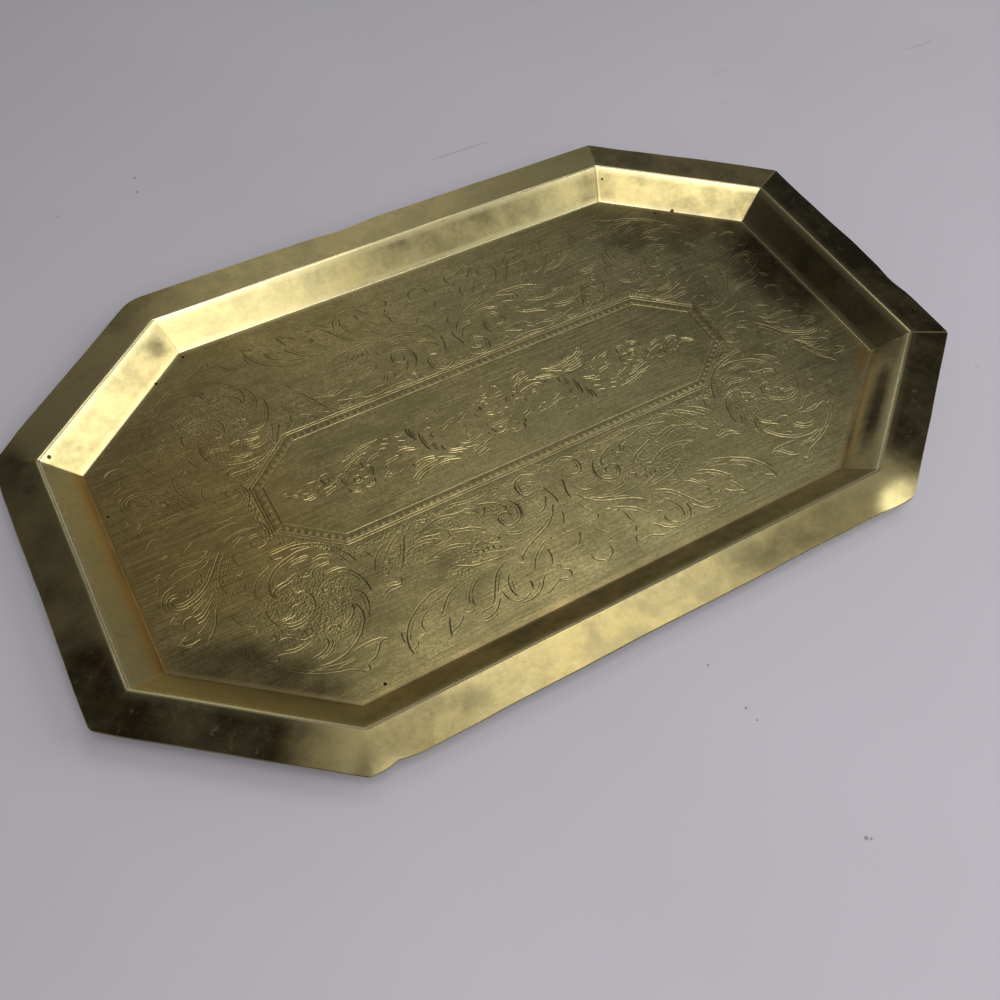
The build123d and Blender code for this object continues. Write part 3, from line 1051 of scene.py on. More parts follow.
UPPER_SPRAY = {
    HEAVY: [
        [(-34.9, -21), (-33.7, -20.9)],
        [(-38.3, -25.5), (-37, -25.1), (-35.5, -25), (-34.2, -25.2), (-32.9, -25.6), (-31.5, -25.7)],
        [(-31.4, -27.6), (-30.5, -27.6), (-29.8, -27.3), (-29.6, -26.4), (-29.7, -26)],
        [(-29.4, -25.7), (-28, -26.5), (-26.7, -27), (-25.4, -27.4), (-24.1, -27.8), (-22.8, -28.7),
         (-21.8, -29.6), (-21.6, -30.2)],
        [(-28.6, -32.6), (-28.5, -33.4)],
        [(-27.6, -33.3), (-27.5, -34)],
        [(-26.8, -34), (-26.5, -34.8)],
        [(-29.6, -34.8), (-28.7, -34.3)],
        [(-28.5, -35.9), (-27.4, -35.5)],
        [(-27, -37), (-26.1, -36.4)],
        [(-32.5, -35.1), (-32, -34.7), (-31.1, -34.6)],
        [(-32.2, -35.4), (-31.3, -36), (-30.2, -36.6), (-28.9, -37.2), (-27.4, -37.6), (-25.6, -37.8),
         (-23.9, -38), (-22.4, -38.2), (-20.8, -38.2), (-20, -37.9)],
        [(-15.3, -22.6), (-14.5, -22.3), (-13.7, -21.9)],
        [(-23.5, -23.6), (-22.4, -24.3), (-21.6, -25.3), (-21.3, -25.8)],
        [(-20.3, -25.7), (-19.5, -25.5), (-19, -24.9), (-18.9, -24.1), (-19.3, -23.6)],
        [(-23.2, -30.5), (-22, -30.6)],
        [(-19.8, -22.7), (-18.4, -23.2), (-16.9, -23.8), (-15.6, -24.5), (-14.7, -25.6), (-14.2, -26.7),
         (-14, -27.5)],
        [(-13.9, -24.1), (-12.8, -24.8), (-11.9, -26.1), (-11.5, -27.4), (-11.5, -28.9), (-12.1, -30.4),
         (-13.2, -31.3), (-14.7, -31.8), (-16.1, -31.6), (-17, -30.8), (-17.5, -29.6), (-17.4, -28.5),
         (-16.7, -27.8), (-15.6, -27.6), (-14.6, -28), (-14.1, -28.9), (-14, -29.6)],
        [(-19.9, -34.2), (-19.9, -33), (-19.3, -32.5), (-18.7, -32.3)],
        [(-24.9, -33.9), (-24.8, -35.4)],
        [(-23.6, -34), (-23.5, -35.5)],
        [(-22.2, -34.2), (-22.2, -35.8)],
        [(-20.8, -35.2), (-20.6, -36.1)],
        [(-19.5, -35.9), (-19.3, -36.5)],
        [(-18.2, -36.3), (-18, -37)],
    ],
    MEDIUM: [
        [(-38.7, -22.3), (-37.9, -21.4), (-36.8, -20.6), (-35.5, -20.2), (-33.9, -20.3), (-32.7, -20.8),
         (-32.9, -21.4), (-33.7, -21.5)],
        [(-36.1, -23.2), (-34.8, -22.7), (-33.3, -22.3), (-31.5, -21.9), (-29.8, -21.7), (-28.1, -21.9),
         (-26.3, -22.5), (-24.6, -22.7), (-23.2, -22.8)],
        [(-41.8, -27.2), (-40.5, -26.5), (-39.2, -26), (-37.7, -25.7), (-36.1, -25.7), (-34.8, -26),
         (-33.7, -26.4), (-32.9, -26.8), (-32.2, -27.6)],
        [(-27.8, -27.4), (-26.5, -27.8), (-25.4, -28.1)],
        [(-38.7, -31.3), (-37.9, -30.9), (-36.6, -30.4), (-35, -30), (-33.5, -29.8), (-32, -29.8),
         (-30.5, -30), (-28.9, -30.5), (-27.4, -31.2), (-26, -31.9)],
        [(-36.3, -31), (-35.5, -31.1), (-34.4, -31.8)],
        [(-30, -21.3), (-27.8, -20.7), (-26.1, -20.6), (-24.3, -20.7), (-22.6, -21.1), (-20.6, -21.3),
         (-18.7, -21.3), (-16.9, -21.1), (-15.8, -20.7), (-15.2, -20.3)],
        [(-15, -20), (-13.9, -20.1), (-13.3, -20.7), (-13.2, -21.5)],
        [(-15, -23.1), (-13.8, -22.8)],
        [(-23.7, -22.3), (-22.6, -22.7), (-21.7, -23.4), (-21.1, -24.5), (-20.6, -25.6)],
        [(-18.4, -32.4), (-17.8, -33.3), (-16.7, -34.1), (-15.2, -34.7), (-13.7, -34.9), (-12.1, -34.8),
         (-10.7, -34.6)],
        [(-17.6, -32.5), (-16.5, -33.5), (-15, -34.1), (-13.7, -34.2)],
        [(-23.6, -32.2), (-23.2, -32.9), (-22.4, -33.8), (-21.3, -34.2), (-19.9, -34.6)],
        [(-25.5, -33), (-25.5, -32.3), (-24.7, -31.7)],
    ],
    LIGHT: [
        [(-33.1, -23.4), (-31.3, -23.2), (-30, -23), (-28.9, -23.2)],
        [(-42.1, -28.4), (-40.9, -27.9), (-39.8, -27.7)],
        [(-39, -31.7), (-37.7, -31.4), (-36.1, -31.7), (-34.8, -32.2)],
        [(-11.3, -26.7), (-11, -28.2), (-11.4, -30), (-12.3, -31.6), (-13.9, -32.5), (-15.2, -32.6),
         (-16.9, -32.2)],
        [(-15.8, -27), (-14.7, -27)],
        [(-24.8, -35.4), (-23.5, -35.9), (-21.7, -36.5), (-20, -37.2), (-17.5, -37.3)],
    ],
}
MIDDLE_SCROLL = {
    HEAVY: [
        [(-3, -21.9), (-3.8, -21.3), (-4.7, -20.8), (-5.8, -20.4), (-7.1, -20.5), (-8.4, -21.2),
         (-9.2, -22.4), (-9.4, -23.7), (-9.2, -25), (-8.5, -25.8), (-7.4, -26.3), (-6.5, -26.1),
         (-5.7, -25.6)],
        [(-1.7, -22.4), (-0.8, -22), (-0.4, -22)],
        [(-3.2, -25.6), (-2.8, -27.2), (-2.3, -28.9), (-2.1, -30.4), (-2.2, -31.7)],
        [(-8.7, -31.8), (-7.6, -31.8), (-6.2, -31.3), (-5.2, -30.3), (-4.3, -28.9), (-4.1, -28)],
        [(-18, -41.6), (-17.6, -40.6), (-16.7, -39.8), (-15.6, -39), (-14.1, -38.4), (-12.6, -37.7),
         (-11, -37.2), (-9.5, -36.6), (-8, -35.9), (-6.9, -35.1), (-5.8, -34.1), (-4.9, -33.3),
         (-4.3, -32.2), (-3.5, -30.9)],
        [(-18, -42), (-18.8, -41.8), (-19.2, -41.1)],
        [(-9.5, -39.8), (-8.9, -39.1), (-8, -38.5)],
        [(-0.5, -51), (-1.4, -50.3), (-2.4, -49.7), (-3, -49), (-3.1, -47.9), (-3, -47.4)],
        [(-4.8, -45.6), (-4.3, -46), (-3.4, -46.2), (-2.6, -45.9)],
        [(-5.4, -38.3), (-5.3, -39.1), (-4.7, -39.8), (-3.8, -40), (-2.9, -39.6)],
    ],
    MEDIUM: [
        [(-7.1, -22.8), (-6, -22.8), (-4.9, -23.2), (-4.3, -23.9)],
        [(-1.9, -20.9), (-1.2, -20.6), (-0.4, -20.6)],
        [(-8.9, -32.5), (-7.3, -32.6), (-6, -32.2)],
        [(-9.1, -33), (-9.1, -32.3)],
        [(-16.9, -45), (-16.1, -43.7), (-15.2, -42.4), (-14.1, -41.3), (-12.8, -40.4), (-11.3, -39.6),
         (-9.7, -38.9)],
        [(-11.3, -41.1), (-11.4, -43.1), (-11.8, -44.4), (-12.5, -45.5)],
        [(-6, -33.8), (-8, -35), (-11, -36.1), (-14, -36.4), (-18, -36.5)],
        [(-4.3, -47), (-3.1, -46.7)],
        [(-5.2, -44.4), (-4.3, -44), (-3.4, -43.1), (-2.5, -41.8), (-2.2, -40.7)],
        [(-5, -37.4), (-4.3, -37), (-3.5, -36), (-3, -35), (-2.8, -33.7)],
    ],
    LIGHT: [
        [(-7.8, -26.8), (-6.2, -26.8)],
        [(-7.3, -23.4), (-6.2, -23.4), (-5.4, -24.3)],
        [(-20.7, -41.5), (-20.2, -41.2)],
        [(-10.3, -40.9), (-10.1, -40), (-9.1, -39.5)],
    ],
}
LOWER_LEAVES = {
    HEAVY: [
        [(-38.7, -38.5), (-40.9, -39), (-42.7, -39.7), (-44.4, -40.4), (-45.9, -41.3), (-47.5, -42.3),
         (-48.8, -43.5), (-49.7, -44.7), (-50.5, -46.1), (-51, -47.6), (-51.2, -49.2), (-51, -50.8)],
        [(-50.9, -49.8), (-50.3, -49.5), (-49.4, -49.1), (-48.9, -48.5), (-48.7, -48)],
        [(-48, -47), (-47.5, -47.5), (-46.8, -47.5), (-46.2, -47)],
        [(-42.2, -41.6), (-40.9, -41.1), (-39.2, -40.6), (-37.4, -40.1)],
        [(-33.6, -39.6), (-35, -40), (-36.5, -40.6), (-38, -41.5), (-39.3, -42.7), (-40.3, -43.9),
         (-41.1, -44.7), (-41.5, -45.2)],
        [(-41.4, -45.4), (-40.1, -45.3)],
        [(-39.9, -46), (-40.5, -47.3), (-41.1, -48.8), (-41.5, -50.1), (-41.8, -51)],
        [(-41.5, -50.1), (-40.6, -49.6), (-39.3, -49.2), (-38.2, -48.6), (-37.4, -47.8), (-37, -47.2)],
        [(-36.2, -46.7), (-35.7, -47.4), (-35, -47.6), (-34.3, -47.4), (-33.7, -47)],
        [(-33.5, -46.6), (-33.5, -45.6), (-33.3, -44.8), (-32.8, -44.1)],
        [(-30, -48.3), (-29, -47.3), (-28.3, -46.2), (-27.5, -44.9), (-26.7, -43.6), (-25.8, -42.3),
         (-24.8, -41.2), (-23.6, -40.4), (-22.3, -39.8), (-21.3, -39.4)],
        [(-33.7, -49.3), (-33, -48.7), (-32.2, -48.5), (-31.3, -48.6), (-30.2, -48.5), (-29, -48.4)],
        [(-33.7, -50.2), (-32.8, -50.5), (-31.6, -50.5), (-30.4, -50.1), (-29.3, -49.4), (-28.3, -48.4),
         (-27.3, -47.1)],
        [(-19.6, -46.3), (-19.2, -47.3), (-19.4, -48.3), (-19.8, -49.2)],
        [(-23.8, -50.9), (-22.4, -51.1), (-21, -51.1), (-19.8, -50.8), (-18.6, -50.3), (-17.5, -49.4),
         (-16.6, -48.3), (-15.4, -47)],
        [(-20, -45.8), (-19.5, -45.3), (-18.8, -45), (-18.1, -45.5)],
        [(-18, -51.4), (-17, -51.5), (-16, -51.2), (-15, -50.7), (-13.8, -50.1), (-12.6, -49.9),
         (-11.6, -50.1), (-10.7, -50.6)],
        [(-10.5, -50.6), (-9.9, -50.1), (-9.6, -49.3), (-9.8, -48.6), (-10.4, -48.1), (-11, -47.9)],
        [(-11.1, -47.5), (-11.1, -46.7), (-11.5, -46.1), (-12.1, -45.8)],
    ],
    MEDIUM: [
        [(-51.1, -44.2), (-51.5, -46.1), (-51.6, -47.6)],
        [(-50.7, -50.7), (-50.1, -50.2)],
        [(-46.3, -46.7), (-46.4, -45.5), (-46, -44.5), (-45.3, -43.6), (-44.2, -42.8), (-42.7, -42.2)],
        [(-32.8, -44), (-32.3, -43), (-31.5, -42), (-30.5, -41.2), (-29, -40.6)],
        [(-33.8, -50.7), (-33, -51.2), (-31.9, -51.3), (-30.8, -51), (-29.6, -50.4)],
        [(-26.3, -46.1), (-26.2, -47.4), (-25.9, -48.6), (-25.2, -49.5), (-24.3, -50.2), (-23.2, -50.4),
         (-22, -50.2), (-21, -49.7), (-20.2, -49)],
        [(-22, -42.5), (-22.9, -43.2), (-23.6, -44.3), (-24, -45.5), (-24.3, -47), (-24, -48.6),
         (-23.7, -49.5)],
        [(-24, -46), (-22, -45.9), (-20.5, -45.7), (-20, -45.6)],
        [(-14, -50.6), (-12.6, -50.4), (-11.7, -50.7), (-10.8, -51.1)],
    ],
    LIGHT: [
        [(-41.1, -39.8), (-39.2, -39.5), (-36.6, -39.3)],
        [(-38.7, -38.9), (-36.8, -38.6), (-35.5, -38.3)],
        [(-45.9, -42.6), (-44.6, -41.8), (-43.1, -41)],
        [(-41.4, -51), (-40.5, -50.4), (-39.3, -50)],
        [(-34.2, -46), (-34.1, -45), (-33.8, -44), (-33.2, -43.1), (-32.5, -42.2), (-31.8, -41.3),
         (-30.8, -40.7)],
        [(-34.8, -44.4), (-34.2, -43.3), (-33.5, -42.4)],
        [(-38, -43.2), (-37, -42.4), (-36, -42)],
        [(-35.2, -41.2), (-34.2, -40.6), (-33, -40.2)],
        [(-28.3, -39.5), (-27, -39.1), (-25.9, -38.8)],
        [(-26.8, -48.8), (-26, -49.8), (-25.2, -50.4)],
        [(-32.6, -45.9), (-31, -46), (-29, -46.1), (-27, -46.3), (-25, -46.2)],
        [(-21.8, -43.3), (-20.5, -42.9), (-19.5, -42.6), (-18.5, -42.4)],
        [(-9.5, -48.4), (-7.6, -47.9)],
        [(-9.3, -49), (-7.4, -48.6)],
        [(-10, -46.4), (-8.4, -46)],
        [(-10.4, -45.2), (-8.8, -44.6)],
    ],
}

# The garland inside the frame. Its left half comes back turned half round, the flowers in its middle don't.

GARLAND = {
    HEAVY: [
        [(-59.5, 1.7), (-58.9, 1.5), (-58.2, 0.8), (-57.4, 0.1), (-56.3, -0.4)],
        [(-55.9, -2), (-55.2, -2.4), (-54.2, -2.4), (-53, -2.3), (-52.2, -1.9)],
        [(-54.3, 2.1), (-53.9, 1.2)],
        [(-50, 2), (-49.9, 1), (-49.6, 0.2), (-49.3, -0.6)],
        [(-50.2, 0), (-49.9, -0.7)],
        [(-50.8, -3), (-49.6, -2.7), (-48.3, -2.3), (-47.3, -2)],
        [(-45.8, 1.9), (-45.5, 1.3)],
        [(-41.9, -1.4), (-41.3, -1.7), (-41, -2.3), (-41.3, -2.9), (-41.9, -3.2), (-42.5, -2.9),
         (-42.8, -2.3), (-42.5, -1.7), (-41.9, -1.4)],
        [(-41.9, -2.1), (-41.8, -2.4)],
        [(-43.6, 3.8), (-42.2, 3.9), (-41, 4.2), (-39.6, 4.6), (-38.2, 5.2), (-36.8, 5.5), (-35.4, 5.7),
         (-34.4, 6), (-33.4, 6), (-32.4, 6.2)],
        [(-42, 4.7), (-40.7, 4.8), (-39.4, 4.9)],
        [(-29.8, 0.2), (-28.6, 0.4), (-27.4, 0.3), (-26.4, -0.1), (-25.2, -0.6)],
        [(-28.6, -0.3), (-27.4, -0.5), (-26.2, -0.9), (-25.2, -1.3)],
        [(-29.7, -0.3), (-29.2, -1.4)],
        [(-33.8, -2.3), (-33.3, -2.9)],
        [(-28.1, -4.5), (-28, -5.6)],
        [(-36.2, -6.2), (-35.6, -5.4), (-34.8, -4.6), (-33.8, -3.8)],
        [(-35.4, -5.2), (-34.6, -4.9), (-33.6, -4.9)],
        [(-27.6, -5.3), (-26.6, -4.8), (-25.4, -4.6), (-24, -4.6), (-22.8, -4.9), (-22, -5.2)],
        [(-30, -9), (-28.8, -8.2), (-27.4, -7.4), (-26, -7), (-24.4, -6.7), (-22.6, -6.5), (-21.8, -6.5)],
        [(-28.9, -10), (-27.8, -9.2), (-26.4, -8.7), (-25, -8.4), (-23.6, -8), (-22, -7.8), (-20.4, -7.8),
         (-19, -8), (-17.8, -8.4), (-16.6, -8.8)],
        [(-19.1, -2.4), (-19.1, -3.6), (-18.8, -4.4), (-18, -5.4), (-17, -6), (-15.8, -6.3), (-14.8, -6.6),
         (-13.8, -7.2)],
        [(-17.3, 0), (-17.1, -0.8)],
        [(-16.9, 0.6), (-16.2, 1), (-15.4, 1.4), (-14.4, 1.6)],
        [(-24.8, 6.2), (-25, 5.2), (-25, 4), (-24.7, 3), (-24.5, 2.4)],
        [(-23.9, 5.8), (-24.3, 4.8), (-24.3, 3.6), (-24.1, 2.4), (-23.9, 1.2)],
        [(-22.2, 3.5), (-22.6, 2.6), (-22.8, 1.2), (-22.8, -0.2), (-22.6, -1.4), (-22.2, -2.8)],
        [(-14.4, 5.3), (-14.6, 4.5)],
        [(-15.8, -4.3), (-15.4, -5.4)],
        [(-11.2, 3.5), (-10.2, 3.5), (-9.2, 4)],
        [(-10.8, 2), (-10, 2.2), (-9.2, 2.6)],
        [(-12, -1.7), (-11.2, -1.3)],
        [(-12, -2.9), (-11.2, -2.9), (-10.6, -2.7)],
        [(-12.4, -9.6), (-11.2, -9.5), (-10, -9.1), (-9.2, -8.7)],
    ],
    MEDIUM: [
        [(-59.5, 1.1), (-58.5, 0.4), (-57.6, -0.3), (-56.3, -0.9)],
        [(-55, -2.9), (-54, -3), (-52.8, -2.8)],
        [(-51.1, -0.1), (-50.8, -0.5)],
        [(-48.6, 0.6), (-48.4, -0.3)],
        [(-50.7, -3.7), (-49.3, -3.3), (-47.7, -2.8)],
        [(-48.6, -1.2), (-47.2, -0.9), (-46.2, -0.5), (-45.7, 0.2), (-45, 0.6), (-44.3, 0.7)],
        [(-43.4, 0.3), (-43.4, 1), (-42.8, 1.4), (-41.8, 1.7), (-41.2, 2.3), (-41, 1.6)],
        [(-43.2, 0.4), (-42.6, -0.6)],
        [(-40.6, 1.8), (-39.8, 2), (-39.2, 1.3), (-39.2, 0.5), (-39.6, 0)],
        [(-38.4, 0.2), (-37.6, -0.2), (-37.3, -1.2), (-37.8, -2.6), (-38.3, -3.4)],
        [(-38.2, -3.6), (-38.2, -4.6), (-38.5, -5.4), (-39.4, -5.9), (-40.4, -6), (-41, -5.5)],
        [(-45, -3.6), (-45.1, -4.6), (-44.7, -5.4), (-43.8, -6), (-42.8, -6.2), (-42, -5.7)],
        [(-45.4, -0.3), (-45.6, -1.2), (-45.3, -2.1), (-44.8, -3), (-44.3, -3.3)],
        [(-43.2, -6.8), (-42.4, -6.7), (-41.8, -6.3)],
        [(-38.2, 4.6), (-36.8, 4.8), (-35, 5)],
        [(-43.4, 2), (-42, 2.4), (-40.6, 2.9), (-39.2, 3.4), (-37.8, 3.7), (-36.6, 3.7)],
        [(-37.7, 0.9), (-36.6, 1.6), (-35.2, 2.1), (-33.6, 2.4)],
        [(-32.4, 4.4), (-31.5, 4), (-30.6, 3.7)],
        [(-33.4, -1.2), (-32, -0.9), (-30.8, -0.7), (-29.8, -0.8)],
        [(-34.4, -2), (-33, -1.8), (-31.6, -1.6), (-30.4, -1.4)],
        [(-29.9, -2.5), (-28.7, -2.3)],
        [(-29.5, -2.8), (-29, -3.5)],
        [(-28.6, -2.9), (-28.3, -3.5)],
        [(-27.8, -3), (-27.6, -3.5)],
        [(-27, -3), (-26.8, -3.5)],
        [(-26.2, -3), (-26, -3.4)],
        [(-36, -6), (-34.8, -5.7), (-33.6, -5.5), (-32.6, -5.2)],
        [(-32.2, -5.8), (-31.4, -5.4), (-30.4, -5.1)],
        [(-29.8, -5.3), (-29, -5)],
        [(-27.6, -6), (-26.2, -5.6), (-24.8, -5.3), (-23.6, -5.4), (-22.2, -5.7)],
        [(-29.6, -9.6), (-28.4, -8.8), (-27, -8), (-25.6, -7.7), (-24, -7.4)],
        [(-30, -10.2), (-29.4, -10.8), (-28.8, -10.4), (-29, -10)],
        [(-20.6, -7.2), (-19.6, -7.3), (-18.8, -7.5)],
        [(-21.5, -5.8), (-20.2, -6.3), (-18.8, -7), (-17.4, -7.7)],
        [(-18.6, -1.6), (-18, -1.3)],
        [(-16.4, 0.2), (-15.6, 0.6)],
        [(-24.3, 7.3), (-23.6, 7.6), (-22.9, 7.3)],
        [(-20.3, 1.4), (-20.7, 0.4)],
        [(-20.4, 5), (-20.1, 4.3)],
        [(-19, 6.3), (-18, 6.3)],
        [(-17.1, 6.6), (-16.8, 5.7)],
        [(-15.5, 8.2), (-15.4, 7)],
        [(-17.6, 2.4), (-16.4, 2.4), (-15.3, 2.5), (-14.4, 3), (-13, 3.2), (-12, 3.4)],
        [(-14.6, -4.4), (-13.6, -5.2), (-12.2, -5.5), (-10.8, -5.3), (-9.4, -5), (-8, -4.6)],
        [(-12.2, 1.5), (-11.3, 1.3), (-10.4, 1.5)],
        [(-12.2, -3.6), (-10.8, -3.6)],
        [(-10.8, 0.1), (-10.7, -0.6)],
        [(-9.6, 0), (-9.5, -1)],
        [(-14, -6.3), (-12.6, -6.8), (-11, -6.9)],
        [(-12.8, -8.6), (-11.2, -8.3), (-9.6, -7.8), (-8.2, -7.2), (-7, -6.6)],
        [(-12.6, -7.9), (-11, -7.4), (-9.4, -7)],
        [(-12.6, -10.3), (-11, -10.3), (-9.6, -9.9), (-8.2, -9.4)],
        [(-40.5, -2.9), (-39.5, -3.1), (-38.7, -2.9)],
        [(-43.2, -4.2), (-43.5, -4.8), (-43, -5.2), (-42.5, -4.7)],
        [(-40.2, -4), (-39.7, -4.5), (-40, -5.1)],
        [(-44.6, -0.8), (-44, -1.3), (-43.9, -2)],
        [(-40.6, -0.4), (-39.8, -0.5), (-39, -0.9)],
        [(-42.3, 0.2), (-41.7, 0.7), (-41, 0.5)],
        [(-48.5, 1.2), (-48.1, 0.4), (-48, -0.2)],
        [(-47.3, 1.4), (-46.8, 0.8), (-46.8, 0.2)],
        [(-50.6, -1.4), (-49.4, -1.5), (-48, -1.4)],
        [(-52, -0.2), (-51.6, -0.9), (-51.8, -1.6)],
        [(-20.8, 3.2), (-19.8, 3.5), (-18.8, 3.2)],
        [(-19.4, 2), (-19.9, 1), (-19.6, 0)],
        [(-31.2, 5.6), (-30.4, 5.2), (-29.8, 5.4)],
        [(-28.4, 4.9), (-27.4, 4.4), (-26.4, 4.6)],
        [(-28.2, 3.4), (-27, 2.8), (-26.2, 2.4)],
    ],
    LIGHT: [
        [(-55.4, -0.4), (-54.6, -0.7), (-53.8, -0.6)],
        [(-53.4, -0.4), (-52.8, 0), (-52.6, 0.6)],
        [(-41.4, -4.2), (-41.3, -5)],
        [(-42.7, -3.4), (-43.3, -3.8)],
        [(-40.7, -1.2), (-40.1, -1)],
        [(-42.1, -0.9), (-42.2, -0.2)],
        [(-53.8, -1.6), (-52.9, -1.4), (-52.2, -1)],
        [(-55.8, -1.5), (-55.3, -1.9)],
        [(-57.2, 0.3), (-56, 0.6), (-54.8, 1)],
        [(-53.2, 2), (-52, 1.7), (-51, 1.8)],
        [(-49.8, 2.5), (-49, 2.4), (-48, 2.5), (-47.2, 2)],
        [(-34, 3), (-32.6, 3), (-31.5, 2.6)],
        [(-34.4, 4), (-33.5, 4.3)],
        [(-29, 1.6), (-27.8, 1), (-26.6, 0.7)],
        [(-21.2, -1), (-20.9, -2.6), (-20.6, -4)],
        [(-20.6, -0.6), (-20.4, -2.2), (-20.2, -3.6)],
    ],
}

# The flowers in the middle of the frame, as a whole

MIDDLE_FLOWERS = {
    HEAVY: [
        [(-4.5, 3.9), (-4.9, 3), (-4.7, 2.1)],
        [(-4.6, 5.1), (-3.8, 5.3), (-3.4, 5.6)],
        [(-3, 5.2), (-2.2, 5.3), (-1.4, 5.2)],
        [(0.8, 5.2), (1.8, 5.3), (3, 5.6)],
        [(2, 6), (3, 6.6)],
        [(4, 5), (4.2, 4)],
        [(4.8, 3.4), (4.8, 2.2)],
        [(-4.2, 0.2), (-3.4, -0.3), (-2.6, -0.6)],
        [(-4.6, -6.2), (-3.9, -6.4), (-3.2, -6.5), (-2.6, -6.2), (-2, -5.8)],
        [(-5.4, -3.6), (-5.2, -4.8), (-4.7, -5.8)],
        [(-0.8, -6.6), (-0.2, -7.1), (0.3, -7.5)],
        [(3.5, -4.6), (3.7, -5.6), (3.4, -6.6)],
        [(2.9, -6), (2.8, -7), (2.4, -8)],
        [(4, -3.8), (5, -3.8), (5.8, -3.4), (6.3, -2.8)],
        [(3.6, 0.5), (4.4, 0.6), (4.8, 1.1), (5.8, 1.2)],
    ],
    MEDIUM: [
        [(-4, 1), (-3, 0.5), (-2, 0.6), (-1.2, 1.2)],
        [(-1, 4.6), (-0.7, 4)],
        [(0.2, 4), (0.6, 4.6)],
        [(3, 3.4), (2.6, 2.2), (2, 1.4)],
        [(-3.8, -6.9), (-3, -7.1), (-2.2, -7), (-1.6, -6.4)],
        [(-1, -7.4), (-0.2, -8), (0.8, -8), (1.8, -7.6)],
        [(-5, -1.8), (-4.2, -1.4)],
        [(-0.7, -3.3), (-0.2, -3.2)],
        [(0.6, -3.1), (1.4, -2.9)],
        [(-5.2, -4), (-3.6, -3.8), (-1.8, -3.9), (0, -3.8)],
        [(-6.1, 3.6), (-5.7, 2.9), (-5.9, 2.2)],
        [(-5.9, 4.8), (-5.3, 4.3)],
        [(-4.1, 4.3), (-3.3, 4.6), (-2.5, 4.5)],
        [(-3.4, 3.2), (-2.7, 3.5), (-2, 3.2)],
        [(-1.5, 0.6), (-1.2, 1.3), (-0.5, 1.5)],
        [(-1.7, -0.5), (-0.8, -0.8), (0.1, -0.6)],
        [(-1.5, -1.8), (-0.6, -1.6), (0.2, -1.2)],
        [(0.9, 0.6), (1.2, 0), (1.9, -0.2)],
        [(1.4, -1.2), (2.2, -1.4), (3, -1.1)],
        [(0.4, 4), (1.3, 4.3), (2.3, 4.2)],
        [(3, 2.4), (3.3, 1.6), (3, 0.9)],
        [(-2.7, 6.6), (-2.2, 6.1), (-1.4, 6.4), (-0.8, 6.9)],
        [(-1.9, 8.6), (-1.2, 9.1), (-0.6, 8.8)],
        [(0.3, 8.9), (0.8, 8.2), (0.7, 7.4)],
        [(1.2, 8.3), (1.7, 7.6), (2.6, 7.4)],
        [(0.6, -5), (1.4, -5.2), (1.9, -5.8), (1.4, -6.4)],
        [(-4, -5), (-3.2, -4.8), (-2.4, -5.1)],
        [(4.4, -4.7), (5.3, -4.5), (6, -4.1)],
        [(-7, 2.2), (-6.8, 1.2), (-6, 0.4)],
        [(6.4, 1.2), (7, 0.4), (7.2, -0.6)],
    ],
    LIGHT: [
        [(-5.6, -1.9), (-5.8, -2.7), (-5.6, -3.4)],
        [(5.4, -0.2), (5.6, -1), (5.2, -1.7)],
        [(-3.8, 2.2), (-3.4, 1.6)],
        [(1.2, 3.3), (1.9, 3)],
        [(-6.6, -4.2), (-6.8, -5.2), (-6.4, -6)],
        [(5.2, 3.8), (6, 3.4), (6.4, 2.6)],
    ],
}

MOTIFS = [
    END_MOTIF, END_FAN, INNER_LEAF, OUTER_SPRIGS, MEDALLION, HATCHED_LEAF, UPPER_SPRAY, MIDDLE_SCROLL,
    LOWER_LEAVES,
]
# The engraving's own axes. The lengthwise one rises by MIDDLE_Y_RISE at MIDDLE_Y_REACH from the middle,
# and the garland turns about MIDDLE_X and half of GARLAND_TURN_Y.
MIDDLE_X = -0.45
MIDDLE_Y = -0.7
MIDDLE_Y_RISE = 1.6
MIDDLE_Y_REACH = 92.0
GARLAND_TURN_Y = -1.8


def middle_line(x):
    """The engraving's own lengthwise axis, which bows a little."""
    return MIDDLE_Y + MIDDLE_Y_RISE * (x / MIDDLE_Y_REACH) ** 2


def echo(stroke, gap, shortest):
    """A finer cut beside the middle part of a stroke, or nothing for a short one.

    It lies on the stroke's hollow side, or on its other side when the gap is negative.
    """
    line = smooth_line(stroke, ECHO_SPACING)
    if len(line) < shortest:
        return []
    bulge = (line[-1] - line[0]).cross(line[len(line) // 2] - line[0])
    side = -1 if bulge > 0 else 1
    followed = range(round(len(line) * ECHO_START_SHARE), round(len(line) * ECHO_END_SHARE))
    return [tuple(line[index] + across_line(line, index) * side * gap) for index in followed]


def weighted(motif):
    """A motif's strokes, each with its weight."""
    return [(weight, stroke) for weight, group in motif.items() for stroke in group]


def with_echoes(motif):
    """A border motif's strokes with their weights, and the echoes of the strong ones."""
    strokes = weighted(motif)
    echoes = [echo(stroke, *ECHO) for weight, stroke in strokes if weight != LIGHT]
    return strokes + [(LIGHT, places) for places in echoes if len(places) >= FEWEST_ECHO_POINTS]


def with_close_echoes(motif):
    """A panel motif's strokes with their weights, each longer one with a finer cut on both sides."""
    strokes = weighted(motif)
    echoes = [echo(stroke, gap, shortest) for _, stroke in strokes for gap, shortest in CLOSE_ECHOES]
    return strokes + [(LIGHT, places) for places in echoes if len(places) >= FEWEST_CLOSE_ECHO_POINTS]


def mirrored(stroke, flip_x, flip_y):
    """A stroke of the border's quarter, carried over to one of the four quarters."""
    places = []
    for x, y in stroke:
        if flip_y:
            y = 2 * middle_line(x) - y
        if flip_x:
            x = 2 * MIDDLE_X - x
        places.append((x, y))
    return places


